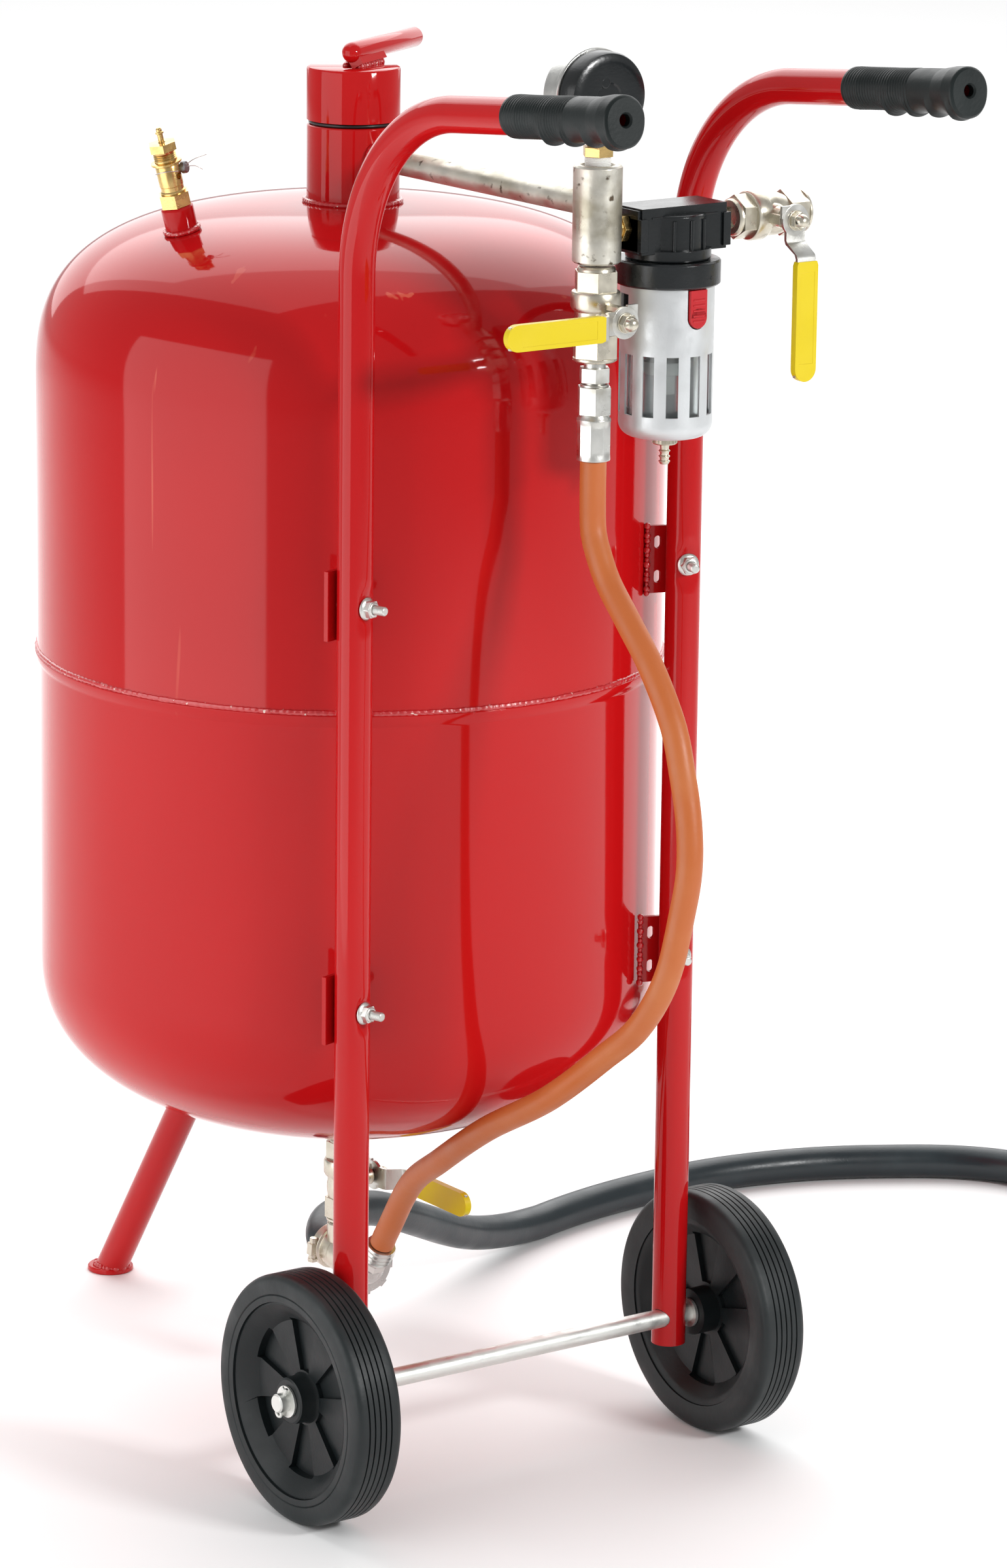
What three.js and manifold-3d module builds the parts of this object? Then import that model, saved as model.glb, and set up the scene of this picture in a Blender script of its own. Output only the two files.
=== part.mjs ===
// Wheeled pressure-pot abrasive blaster: a welded steel tank on a two-wheel hand-truck frame,
// with its air inlet, filter, gauge, ball valves, mixing tee, air hose and blast hose.
// Units are millimetres, +Z is up, and the floor is z = 0. The axle runs along X, and the
// operator stands on the -Y side, behind the two handles.
import * as THREE from 'three';
import { mergeVertices } from 'three/addons/utils/BufferGeometryUtils.js';
import Module from 'manifold-3d';

const wasm = await Module();
wasm.setup();

// ---------------------------------------------------------------- driving dimensions
const GAP = 0.3; // clearance between separate pieces
const ORIGIN_Y = 115; // the model is laid out from the frame's tubes, and moved by this at the end

const TANK = { r: 200, y: 187.4, wall: 3, seamZ: 499.6, lowerStep: 1.5 };
const TOP_DOME = { z: 671, rise: 115.6, power: 2.89 };
const BOTTOM_DOME = { z: 300, rise: 109.4, power: 2.36 };

const NECK = { r: 29.3, bore: 23, bottomZ: 780, topZ: 835.6 };
const LID = { bottomZ: 838.4, topZ: 872, plugR: 22.4, plugDepth: 24, barR: 6.5, barLength: 95, barTurn: 31 };

const TUBE = { r: 11, wall: 1.5, x: 124, bottomZ: 61, bendR: 110 };
const HANDLE = { z: 873.5, rise: 0.096, endY: -259 };
const GRIP = { r: 12.8, boreR: 11.8, startY: -160, endY: -265, endR: 14 };

const AXLE = { r: 6, y: -3, z: 79, end: 181 };
const WHEEL = { x: 156, r: 79, width: 34, rimR: 62, bossR: 15, spokes: 6 };

const TAB = { height: 43, thick: 3, zs: [574, 321], turn: 72, seat: 8.5 };
const LEG = { r: 11, footY: 480, topY: 333, topZ: 219, discR: 16, discThick: 4 };

const MANIFOLD = { y: -71.5, pipeZ: 817, pipeR: 7.6, couplingR: 14.8, couplingZ: [782.5, 841.5] };
const GAUGE = { z: 882.3, backY: -83, caseDepth: 14.3, depth: 31, r: 27, bezelR: 28.5, dialR: 24.6 };
const FILTER = { x: 53.5, z: 800.5, guardR: 28.6, collarR: 32, slots: 12 };
const controlValveZ = 750.5;
const LINE_Z = 802; // height of the air line through the filter and the inlet valve

const VALVE = {
  half: 27.5, ringR: 15.2, hexFlat: 25, bodyR: 13, ballR: 9.4, cavityR: 10.6, bore: 6, stemR: 3.5,
};
const LEVER = { width: 16, thick: 2.2, sleeve: 4.6, crank: 11.5 };

const AIR_HOSE_R = 8;
const BLAST_HOSE_R = 12;
const TEE = { z: 91, tilt: 6, barrelR: 13.5 };

// ---------------------------------------------------------------- materials
const paint = (color, roughness, metalness) =>
  new THREE.MeshStandardMaterial({ color, roughness, metalness });
const redPaint = paint(0xb5121b, 0.22, 0.1);
const zinc = paint(0xb9bab6, 0.35, 0.9);
const galvanised = paint(0x9c9a90, 0.45, 0.85);
const nickel = paint(0xb8b1a0, 0.35, 0.9);
const chrome = paint(0xd6d8da, 0.1, 1);
const brass = paint(0xb08a3c, 0.3, 0.95);
const silverPaint = paint(0xb4b7b8, 0.4, 0.6);
const blackRubber = paint(0x17191a, 0.7, 0);
const blackPlastic = paint(0x131415, 0.45, 0);
const orangeRubber = paint(0xb4532b, 0.6, 0);
const yellowVinyl = paint(0xe8cf12, 0.4, 0);
const redPlastic = paint(0xb01822, 0.35, 0);
const clearPlastic = new THREE.MeshStandardMaterial({
  color: 0xdfe8ea, roughness: 0.08, metalness: 0, transparent: true, opacity: 0.35,
});
const whiteFace = paint(0xf2f2ee, 0.5, 0);
const ceramic = paint(0xe4e0d6, 0.6, 0);

// ---------------------------------------------------------------- shape helpers
const rad = THREE.MathUtils.degToRad;
const vec = (x, y, z) => new THREE.Vector3(x, y, z);
const UP = vec(0, 0, 1);

// A closed three.js geometry as a manifold solid, its faces turned outwards.
function solid(geometry) {
  const bare = geometry.clone();
  bare.deleteAttribute('normal');
  bare.deleteAttribute('uv');
  const merged = mergeVertices(bare, 1e-4);
  const positions = merged.attributes.position.array;
  const triangles = Uint32Array.from(merged.index.array);
  const corner = (i) => vec(positions[3 * i], positions[3 * i + 1], positions[3 * i + 2]);
  let volume = 0;
  for (let i = 0; i < triangles.length; i += 3) {
    const [a, b, c] = [corner(triangles[i]), corner(triangles[i + 1]), corner(triangles[i + 2])];
    volume += a.dot(b.cross(c));
  }
  if (volume < 0) {
    for (let i = 0; i < triangles.length; i += 3) {
      [triangles[i + 1], triangles[i + 2]] = [triangles[i + 2], triangles[i + 1]];
    }
  }
  const vertProperties = Float32Array.from(positions);
  return new wasm.Manifold(new wasm.Mesh({ numProp: 3, vertProperties, triVerts: triangles }));
}

// A manifold solid as a three.js geometry.
function surface(body) {
  const { vertProperties, triVerts } = body.getMesh();
  const geometry = new THREE.BufferGeometry();
  geometry.setAttribute('position', new THREE.BufferAttribute(Float32Array.from(vertProperties), 3));
  geometry.setIndex(Array.from(triVerts));
  geometry.computeVertexNormals();
  return geometry;
}

const join = (...bodies) => bodies.reduce((all, body) => all.add(body));

// The solid moved so that its own +Z points along direction from origin, after a spin about +Z.
function place(body, origin, direction = UP, spin = 0) {
  const turn = new THREE.Quaternion().setFromUnitVectors(UP, direction.clone().normalize());
  turn.multiply(new THREE.Quaternion().setFromAxisAngle(UP, rad(spin)));
  const matrix = new THREE.Matrix4().compose(origin, turn, vec(1, 1, 1));
  const geometry = surface(body);
  geometry.applyMatrix4(matrix);
  return solid(geometry);
}

// A body of revolution about +Z. The outline's points are [radius, height].
function turned(outline, segments = 16) {
  const points = outline.map(([r, z]) => new THREE.Vector2(r, z));
  return solid(new THREE.LatheGeometry(points, segments).rotateX(Math.PI / 2));
}

const rod = (r, low, high, segments = 10) => turned([[0, low], [r, low], [r, high], [0, high]], segments);

function ring(inner, outer, low, high, segments = 16) {
  return turned([[inner, low], [outer, low], [outer, high], [inner, high], [inner, low]], segments);
}

// A hexagonal prism, measured across its flats.
function hex(flats, low, high) {
  return turned([[0, low], [flats / Math.sqrt(3), low], [flats / Math.sqrt(3), high], [0, high]], 6);
}

function block(low, high) {
  const size = vec(...high).sub(vec(...low));
  const centre = vec(...low).add(vec(...high)).multiplyScalar(0.5);
  return solid(new THREE.BoxGeometry(size.x, size.y, size.z).translate(centre.x, centre.y, centre.z));
}

// A flat outline in X and Y, raised from low to high.
function plate(points, low, high) {
  const shape = new THREE.Shape(points.map(([x, y]) => new THREE.Vector2(x, y)));
  const slab = new THREE.ExtrudeGeometry(shape, { depth: high - low, bevelEnabled: false });
  return solid(slab.translate(0, 0, low));
}

// A route through given stations, with a section at each station.
class Route extends THREE.Curve {
  constructor(stations) {
    super();
    this.stations = stations;
  }

  getPoint(t) {
    const last = this.stations.length - 1;
    const index = Math.min(Math.floor(t * last + 1e-9), last - 1);
    return this.stations[index].clone().lerp(this.stations[index + 1], t * last - index);
  }

  getPointAt(u) {
    return this.getPoint(u);
  }

  getTangentAt(u) {
    const last = this.stations.length - 1;
    const index = Math.round(u * last);
    const before = this.stations[Math.max(index - 1, 0)];
    const after = this.stations[Math.min(index + 1, last)];
    return after.clone().sub(before).normalize();
  }
}

function circle(r, sides) {
  return Array.from({ length: sides }, (_, i) => {
    const angle = (i / sides) * 2 * Math.PI;
    return new THREE.Vector2(r * Math.cos(angle), r * Math.sin(angle));
  });
}

// A round bar, or a tube if bore is given, swept through the stations.
function swept(stations, r, sides, bore = 0) {
  const shape = new THREE.Shape(circle(r, sides));
  if (bore) shape.holes.push(new THREE.Path(circle(bore, sides)));
  const options = { steps: stations.length - 1, bevelEnabled: false, extrudePath: new Route(stations) };
  return solid(new THREE.ExtrudeGeometry(shape, options));
}

// The origin is on the floor, under the middle of the machine without its blast hose.
const group = new THREE.Group();
group.position.set(0, -ORIGIN_Y, 0);
function add(name, body, material) {
  const mesh = new THREE.Mesh(surface(body), material);
  mesh.name = name;
  group.add(mesh);
}

// ---------------------------------------------------------------- tank
// A dome's outline is a superellipse, from the tank's wall to the radius stopR.
function domeOutline(r, dome, sign, stopR, steps, inset = 0) {
  const radius = r - inset;
  const rise = dome.rise - inset;
  const stop = Math.acos((stopR / radius) ** (dome.power / 2));
  return Array.from({ length: steps + 1 }, (_, i) => {
    const angle = (stop * i) / steps;
    const out = radius * Math.cos(angle) ** (2 / dome.power);
    return [out, dome.z + sign * rise * Math.sin(angle) ** (2 / dome.power)];
  });
}

// The whole outside of the tank grown by margin, used to fit pieces against it.
function tankEnvelope(margin) {
  const top = domeOutline(TANK.r + margin, { ...TOP_DOME, rise: TOP_DOME.rise + margin }, 1, 0, 6);
  const bottom = domeOutline(TANK.r + margin, { ...BOTTOM_DOME, rise: BOTTOM_DOME.rise + margin }, -1, 0, 6);
  return place(turned([...bottom.reverse(), ...top], 32), vec(0, TANK.y, 0));
}

const SAFETY = { reach: 122, socketR: 10, socketRise: 17, boreR: 6.5 };
const safetySlope = rad(15.2);
const safetyAxis = vec(-Math.sin(safetySlope), 0, Math.cos(safetySlope));
const safetyBase = vec(-SAFETY.reach, TANK.y + 8, 776);

function buildTank() {
  const upperOutline = [
    ...domeOutline(TANK.r, TOP_DOME, 1, NECK.r + 0.5, 6),
    ...domeOutline(TANK.r, TOP_DOME, 1, NECK.r + 0.5, 4, TANK.wall).reverse(),
  ];
  const upper = turned([
    [TANK.r, TANK.seamZ + 2], ...upperOutline,
    [TANK.r - TANK.wall, TANK.seamZ + 2], [TANK.r, TANK.seamZ + 2],
  ], 32);
  const socket = place(rod(SAFETY.socketR, -8, SAFETY.socketRise), safetyBase, safetyAxis);
  const socketBore = place(rod(SAFETY.boreR, -20, SAFETY.socketRise + 1), safetyBase, safetyAxis);
  const shell = place(upper, vec(0, TANK.y, 0)).add(socket).subtract(socketBore);
  add('tank_upper', shell, redPaint);

  const lowerR = TANK.r - TANK.lowerStep;
  const outletR = 12.5;
  const seamTop = TANK.seamZ + 2 - GAP;
  const lower = turned([
    ...domeOutline(lowerR, BOTTOM_DOME, -1, outletR, 6),
    ...domeOutline(lowerR, BOTTOM_DOME, -1, outletR, 4, TANK.wall).reverse(),
    [lowerR - TANK.wall, seamTop], [lowerR + 2, seamTop], [lowerR + 4, seamTop - 2],
    [lowerR + 3, TANK.seamZ - 4], [lowerR, TANK.seamZ - 6], [lowerR, BOTTOM_DOME.z],
  ], 32);
  add('tank_lower', place(lower, vec(0, TANK.y, 0)), redPaint);

  const neck = turned([
    [NECK.bore, NECK.bottomZ], [NECK.r, NECK.bottomZ], [NECK.r, 787], [NECK.r + 3.2, 787],
    [NECK.r + 2.2, 789.4], [NECK.r, 791], [NECK.r, NECK.topZ], [NECK.bore, NECK.topZ],
    [NECK.bore, NECK.bottomZ],
  ], 18);
  add('filler_neck', place(neck, vec(0, TANK.y, 0)), redPaint);
}

// The lid screws into the neck by its plug. The bar welded across its top turns it.
function buildLid() {
  const plugBottom = LID.bottomZ - LID.plugDepth;
  const groove = [LID.plugR - 1, LID.bottomZ - 5];
  const cap = turned([
    [0, plugBottom], [LID.plugR - 1, plugBottom], [LID.plugR, plugBottom + 1], [LID.plugR, groove[1]],
    groove, [LID.plugR - 1, LID.bottomZ], [NECK.r + 0.2, LID.bottomZ], [NECK.r + 0.2, LID.topZ - 1.2],
    [NECK.r - 1, LID.topZ], [0, LID.topZ],
  ], 18);
  const turn = rad(LID.barTurn);
  const along = vec(Math.cos(turn), Math.sin(turn), 0);
  const start = vec(-8, -10, LID.topZ + 9.5);
  const bar = place(rod(LID.barR, 0, LID.barLength, 10), start, along);
  const knob = solid(new THREE.SphereGeometry(LID.barR, 10, 6).translate(start.x, start.y, start.z));
  const rib = place(block([-4.2, -9.5, -2], [4.2, 0, 34]), start, along, 90);
  const lid = join(cap, bar, knob, rib);
  add('filler_lid', place(lid, vec(0, TANK.y, 0)), redPaint);

  const seal = new THREE.TorusGeometry(27.1, 1.25, 6, 16).translate(0, TANK.y, (NECK.topZ + LID.bottomZ) / 2);
  add('lid_seal', solid(seal), blackRubber);
}

// ---------------------------------------------------------------- safety valve
function buildSafetyValve() {
  const base = SAFETY.socketRise + GAP;
  const body = join(
    rod(6.1, base - 9, base + 1, 12),
    hex(18, base, base + 8.5),
    rod(7.5, base + 8, base + 27, 16),
    rod(9.6, base + 27, base + 29, 16),
    rod(7.6, base + 29, base + 36, 16),
    hex(17, base + 36, base + 41),
  ).subtract(rod(2.3, base + 20, base + 42, 12));
  add('safety_valve_body', place(body, safetyBase, safetyAxis), brass);
  const pin = join(rod(1.9, base + 30, base + 50.5, 12), rod(2.1, base + 46.5, base + 48, 12));
  add('safety_valve_pin', place(pin, safetyBase, safetyAxis), brass);
}

// ---------------------------------------------------------------- frame and grips
// Each side of the frame is one tube: straight up, round the bend and back along the handle.
function tubeStations(x) {
  const lift = Math.atan(HANDLE.rise);
  const sweep = Math.PI / 2 - lift;
  const tangent = TUBE.bendR * Math.tan(sweep / 2);
  const bendZ = HANDLE.z - tangent;
  const stations = [vec(x, 0, TUBE.bottomZ), vec(x, 0, bendZ - 1)];
  const steps = 6;
  for (let i = 0; i <= steps; i += 1) {
    const angle = (sweep * i) / steps;
    stations.push(vec(x, -TUBE.bendR * (1 - Math.cos(angle)), bendZ + TUBE.bendR * Math.sin(angle)));
  }
  stations.push(vec(x, HANDLE.endY, HANDLE.z - HANDLE.rise * HANDLE.endY));
  return stations;
}

const boltAxis = (side) => vec(-side * Math.cos(rad(TAB.turn)), -Math.sin(rad(TAB.turn)), 0);

function buildFrame() {
  for (const [side, label] of [[-1, 'left'], [1, 'right']]) {
    const x = side * TUBE.x;
    const cuts = [place(rod(AXLE.r + GAP, -30, 30), vec(x, AXLE.y, AXLE.z), vec(1, 0, 0))];
    for (const z of TAB.zs) {
      cuts.push(place(rod(3.4, -30, 30, 6), vec(x, 0, z), boltAxis(side)));
      cuts.push(place(rod(8, TAB.seat, 30, 8), vec(x, 0, z), boltAxis(side)));
    }
    const tube = swept(tubeStations(x), TUBE.r, 10, TUBE.r - TUBE.wall);
    add(`frame_tube_${label}`, tube.subtract(join(...cuts)), redPaint);

    const direction = vec(0, -1, HANDLE.rise).normalize();
    const start = vec(x, GRIP.startY, HANDLE.z - HANDLE.rise * GRIP.startY);
    const length = (GRIP.startY - GRIP.endY) * Math.hypot(1, HANDLE.rise);
    const sleeve = turned([
      [0, 0], [GRIP.r - 0.8, 0], [GRIP.r, 3], [GRIP.r, 45], [GRIP.r - 0.4, 60], [GRIP.r, length - 22],
      [GRIP.endR, length - 8], [GRIP.endR, length - 2], [GRIP.endR - 2, length], [0, length],
    ], 14);
    const fingers = [38, 58, 78].map((at) =>
      solid(new THREE.SphereGeometry(9, 8, 5).translate(0, -7, at)));
    const bore = rod(GRIP.boreR, -1, length - 5, 12);
    const airHole = rod(4, length - 20, length + 1, 8);
    const grip = join(sleeve, ...fingers).subtract(bore).subtract(airHole);
    add(`grip_${label}`, place(grip, start, direction), blackRubber);
  }
}

// Tabs welded to the tank hold each tube by a bolt, its nut on the inner side.
function buildTabs() {
  const clearOfTank = tankEnvelope(GAP);
  const heights = ['upper', 'lower'];
  for (const [side, label] of [[-1, 'left'], [1, 'right']]) {
    heights.forEach((height, index) => {
      const centre = vec(side * TUBE.x, 0, TAB.zs[index]);
      const axis = boltAxis(side);
      const face = -TUBE.r - GAP;
      // The tab's own X runs from its free edge to the tank, its own Z along the bolt.
      const half = TAB.height / 2;
      const across = vec(side * -Math.sin(rad(TAB.turn)), Math.cos(rad(TAB.turn)), 0);
      const frame = new THREE.Matrix4().makeBasis(across, across.clone().cross(axis).negate(), axis);
      const put = (body) => {
        const geometry = surface(body);
        geometry.applyMatrix4(frame).translate(centre.x, centre.y, centre.z);
        return solid(geometry);
      };
      const blank = block([-12, -half, face - TAB.thick], [40, half, face]);
      const holes = [-11, 11].map((at) => put(block([11, at - 3.5, face - 9], [15.5, at + 3.5, face + 9])));
      const boltHole = put(rod(3.4, face - 9, face + 9, 6));
      const tab = put(blank).subtract(clearOfTank).subtract(join(boltHole, ...holes));
      add(`tab_${label}_${height}`, tab, redPaint);

      const bolt = join(
        rod(5.5, face - TAB.thick - GAP - 1.8, face - TAB.thick - GAP, 10),
        rod(3, face - TAB.thick - 1, TAB.seat + 15, 6),
        rod(7, TAB.seat + GAP, TAB.seat + 1.8, 10),
        hex(10, TAB.seat + 1.4, TAB.seat + 6.6),
      );
      add(`frame_bolt_${label}_${height}`, put(bolt), zinc);
    });
  }
}

// ---------------------------------------------------------------- axle and wheels
function buildWheels() {
  const along = vec(1, 0, 0);
  const centre = vec(0, AXLE.y, AXLE.z);
  const bossOut = WHEEL.x + 16;
  const shaft = [rod(AXLE.r, -AXLE.end, AXLE.end, 12)];
  for (const side of [-1, 1]) {
    const span = (a, b) => [Math.min(side * a, side * b), Math.max(side * a, side * b)];
    shaft.push(rod(9.5, ...span(TUBE.x + 12.5, WHEEL.x - 17.5), 12)); // inner spacer
    shaft.push(rod(10, ...span(bossOut + GAP, bossOut + 1.8), 12)); // outer washer
    shaft.push(place(rod(1.3, -11, 11, 6), vec(0, 0, side * (bossOut + 4.2)), vec(0, 1, 0.001))); // split pin
  }
  add('axle', place(join(...shaft), centre, along), zinc);

  for (const [side, label] of [[-1, 'left'], [1, 'right']]) {
    const half = WHEEL.width / 2;
    const at = vec(side * WHEEL.x, AXLE.y, AXLE.z);
    const rim = WHEEL.rimR - GAP;
    const disc = turned([
      [AXLE.r + 0.4, -half], [WHEEL.bossR, -half], [WHEEL.bossR, 0], [rim - 12, 0],
      [rim - 2, -half + 2], [rim, -half + 2], [rim, half - 2], [rim - 2, half - 2], [rim - 12, 8],
      [WHEEL.bossR, 8], [WHEEL.bossR, half - 1], [AXLE.r + 0.4, half - 1], [AXLE.r + 0.4, -half],
    ], 20);
    const pockets = [];
    for (let i = 0; i < WHEEL.spokes; i += 1) {
      const middle = (i / WHEEL.spokes) * 2 * Math.PI;
      const spread = rad(20);
      const edge = (r, angle) => [r * Math.cos(middle + angle), r * Math.sin(middle + angle)];
      const sector = [edge(20, -spread), edge(49, -spread), edge(50, 0), edge(49, spread), edge(20, spread)];
      pockets.push(plate(sector, 3, half));
    }
    const hub = disc.subtract(join(...pockets));
    add(`wheel_hub_${label}`, place(hub, at, vec(side, 0, 0)), blackPlastic);

    const grooves = [-5.5, 5.5].flatMap((at) =>
      [[WHEEL.r, at - 1.2], [WHEEL.r - 1.5, at], [WHEEL.r, at + 1.2]]);
    const tyre = turned([
      [WHEEL.rimR, -half + 1], [WHEEL.r - 6, -half], [WHEEL.r, -half + 5], ...grooves,
      [WHEEL.r, half - 5], [WHEEL.r - 6, half], [WHEEL.rimR, half - 1], [WHEEL.rimR, -half + 1],
    ], 20);
    add(`tyre_${label}`, place(tyre, at, vec(side, 0, 0)), blackRubber);
  }
}

// ---------------------------------------------------------------- leg
function buildLeg() {
  const foot = vec(0, LEG.footY, 0);
  const top = vec(0, LEG.topY, LEG.topZ);
  const direction = top.clone().sub(foot).normalize();
  const length = top.distanceTo(foot) + 20;
  const tube = place(rod(LEG.r, 0, length, 12), foot, direction);
  const aboveFloor = block([-60, LEG.footY - 300, 1], [60, LEG.footY + 60, 400]);
  const disc = place(
    turned([
      [0, 0], [LEG.discR - 1, 0], [LEG.discR, 1], [LEG.discR - 1, LEG.discThick], [0, LEG.discThick],
    ], 16),
    foot,
  );
  const leg = tube.intersect(aboveFloor).subtract(tankEnvelope(GAP)).add(disc);
  add('rear_leg', leg, redPaint);
}

// ---------------------------------------------------------------- ball valves
// A valve's own frame: the flow runs along Z, the stem points along +Y, the ball is at the origin.
// Two joined discs that a lever turns on: cap, ring, body and threaded end.
function valveBody(stemTop, capEnd) {
  const { half, ringR, hexFlat, bodyR } = VALVE;
  const outside = join(
    hex(hexFlat - 1, 9, capEnd),
    turned([[0, 3], [bodyR, 3], [ringR, 6], [ringR, 14], [ringR - 1, 15.5], [0, 15.5]], 12),
    turned([[0, -12], [bodyR - 1.5, -12], [bodyR, -8], [bodyR, 4], [0, 4]], 14),
    hex(hexFlat, -half, -11),
    place(rod(6.6, 0, stemTop - 9, 10), vec(0, 0, 0), vec(0, 1, 0)),
    place(hex(11, 0, stemTop - 6.5), vec(0, 0, 0), vec(0, 1, 0)),
  );
  const cavity = solid(new THREE.SphereGeometry(VALVE.cavityR, 8, 6));
  const way = rod(VALVE.bore, -half - 1, capEnd + 1, 8);
  const stemWay = place(rod(VALVE.stemR + 0.3, 0, stemTop + 1, 8), vec(0, 0, 0), vec(0, 1, 0));
  return outside.subtract(join(cavity, way, stemWay));
}

// The ball, stem and the nut that holds the lever. The ball's bore lies across the flow, shut.
function valveStem(stemTop) {
  const ball = solid(new THREE.SphereGeometry(VALVE.ballR, 8, 6));
  const bore = place(rod(VALVE.bore - 0.5, -12, 12, 8), vec(0, 0, 0), vec(1, 0, 0));
  const up = vec(0, 1, 0);
  const shaft = join(
    place(rod(VALVE.stemR, VALVE.ballR - 2, stemTop + 8, 8), vec(0, 0, 0), up),
    place(hex(10, stemTop + 1.7, stemTop + 7), vec(0, 0, 0), up),
    place(
      turned([[0, stemTop + 6], [4.2, stemTop + 6], [2, stemTop + 11], [0, stemTop + 11]], 10),
      vec(0, 0, 0),
      up,
    ),
  );
  return ball.subtract(bore).add(shaft);
}

// The lever lies along the valve's own +X. It steps outwards by LEVER.crank beyond the nut.
function valveLever(stemTop, length) {
  const { width, thick, sleeve, crank } = LEVER;
  const low = stemTop - 1;
  const outer = low + crank;
  const half = width / 2;
  const blade = plate([
    [-9, low], [13, low], [21, outer], [length - 4, outer], [length - 4, outer + thick],
    [21.6, outer + thick], [13.9, low + thick], [-9, low + thick],
  ], 0.8 - half, half - 0.8);
  const sleeveLow = outer - (sleeve - thick) / 2;
  const grip = block([22.5, sleeveLow, -half], [length, sleeveLow + sleeve, half]);
  const rounding = place(rod(half + 0.01, 0, 60, 12), vec(length - half, 0, 0), vec(0, 1, 0));
  const middle = block([20, 0, -half], [length - half, 60, half]);
  const eye = place(rod(10, 0, 60, 12), vec(0, 0, 0), vec(0, 1, 0));
  const strap = block([0, 0, -20], [length - 2, 60, 20]);
  const hole = place(rod(VALVE.stemR + 0.45, 0, 60, 8), vec(0, 0, 0), vec(0, 1, 0));
  return blade.intersect(eye.add(strap)).add(grip.intersect(rounding.add(middle))).subtract(hole);
}

// Moves a valve piece to centre, with its flow end (-Z), its stem (+Y) along the given directions.
function placeValve(body, centre, capDirection, stemDirection) {
  const z = capDirection.clone().normalize();
  const y = stemDirection.clone().normalize();
  const x = y.clone().cross(z);
  const geometry = surface(body);
  geometry.applyMatrix4(new THREE.Matrix4().makeBasis(x, y, z)).translate(centre.x, centre.y, centre.z);
  return solid(geometry);
}

// All of a valve but its place: the lever turns with the stem, and points along the valve's own +X.
function buildValve(name, centre, capDirection, stemDirection, { stemTop, capEnd, leverLength }) {
  const put = (body) => placeValve(body, centre, capDirection, stemDirection);
  add(`${name}_body`, put(valveBody(stemTop, capEnd)), nickel);
  add(`${name}_stem`, put(valveStem(stemTop)), zinc);
  add(`${name}_lever`, put(valveLever(stemTop, leverLength)), yellowVinyl);
}

// ---------------------------------------------------------------- air manifold and gauge
function buildManifold() {
  const { y, pipeZ, pipeR, couplingR, couplingZ } = MANIFOLD;
  const neckFront = TANK.y - NECK.r;
  const pipeStart = neckFront - GAP;
  const pipeEnd = y + couplingR + GAP;
  const pipe = join(
    rod(pipeR, 0, pipeStart - pipeEnd + 3, 16),
    turned([[0, 0.5], [pipeR + 3, 0.5], [pipeR + 1.6, 3.5], [pipeR, 5], [0, 5]], 16),
  );
  const neckClear = place(rod(NECK.r + GAP, 700, 900, 18), vec(0, TANK.y, 0));
  const couplingClear = place(rod(couplingR + GAP, 700, 900, 18), vec(0, y, 0));
  const placed = place(pipe, vec(0, pipeStart, pipeZ), vec(0, -1, 0));
  const reach = place(rod(pipeR + 3, 0, 3, 16), vec(0, pipeStart + 2, pipeZ), vec(0, -1, 0));
  add('manifold_pipe', join(placed, reach).subtract(neckClear).subtract(couplingClear), galvanised);

  const [low, high] = couplingZ;
  const coupling = turned([
    [0, low], [couplingR - 1.5, low], [couplingR, low + 1.5], [couplingR, high - 1.5],
    [couplingR - 1.5, high], [0, high],
  ], 18);
  add('manifold_coupling', place(coupling, vec(0, y, 0)), galvanised);
}

function buildGauge() {
  const y = MANIFOLD.y;
  const base = MANIFOLD.couplingZ[1] + GAP;
  const centre = vec(0, GAUGE.backY, GAUGE.z);
  const facing = vec(0, 1, 0);
  const caseClear = place(rod(GAUGE.bezelR + GAP, -1, GAUGE.depth + 1, 18), centre, facing);
  const adapter = place(
    join(
      rod(7.3, base, base + 3.4, 16),
      hex(17, base + 3, base + 10),
      rod(6, base + 9, base + 24, 12),
    ),
    vec(0, y, 0),
  ).subtract(caseClear);
  add('gauge_adapter', adapter, brass);

  const { r, bezelR, caseDepth, depth, dialR } = GAUGE;
  const shell = turned([
    [0, 0], [r - 2.5, 0], [r, 2], [r, caseDepth], [bezelR - 4, caseDepth], [bezelR - 4, 4], [0, 4],
  ], 18).subtract(rod(1.6, -1, 1.5, 10).translate(0, 6, 0));
  add('gauge_case', place(shell, centre, facing), blackPlastic);
  const bezel = turned([
    [dialR + 1.2, caseDepth + GAP], [bezelR, caseDepth + GAP], [bezelR, depth - 1.5], [bezelR - 1, depth],
    [dialR - 1.2, depth], [dialR - 1.2, depth - 2], [dialR + 1.2, depth - 2], [dialR + 1.2, caseDepth + GAP],
  ], 18);
  add('gauge_bezel', place(bezel, centre, facing), chrome);
  add('gauge_dial', place(rod(dialR, 22, 23, 18), centre, facing), whiteFace);
  const needle = join(
    plate([[-1.1, -7], [1.1, -7], [1.1, 8], [0.35, 18.5], [-0.35, 18.5], [-1.1, 8]], 24, 24.8),
    rod(3, 23.3, 25.6, 12),
  );
  const zeroTurn = -45;
  add('gauge_needle', place(place(needle, vec(0, 0, 0), UP, zeroTurn), centre, facing), blackPlastic);
  add('gauge_glass', place(rod(dialR + 0.7, 26.2, 27.7, 18), centre, facing), clearPlastic);
}

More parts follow.
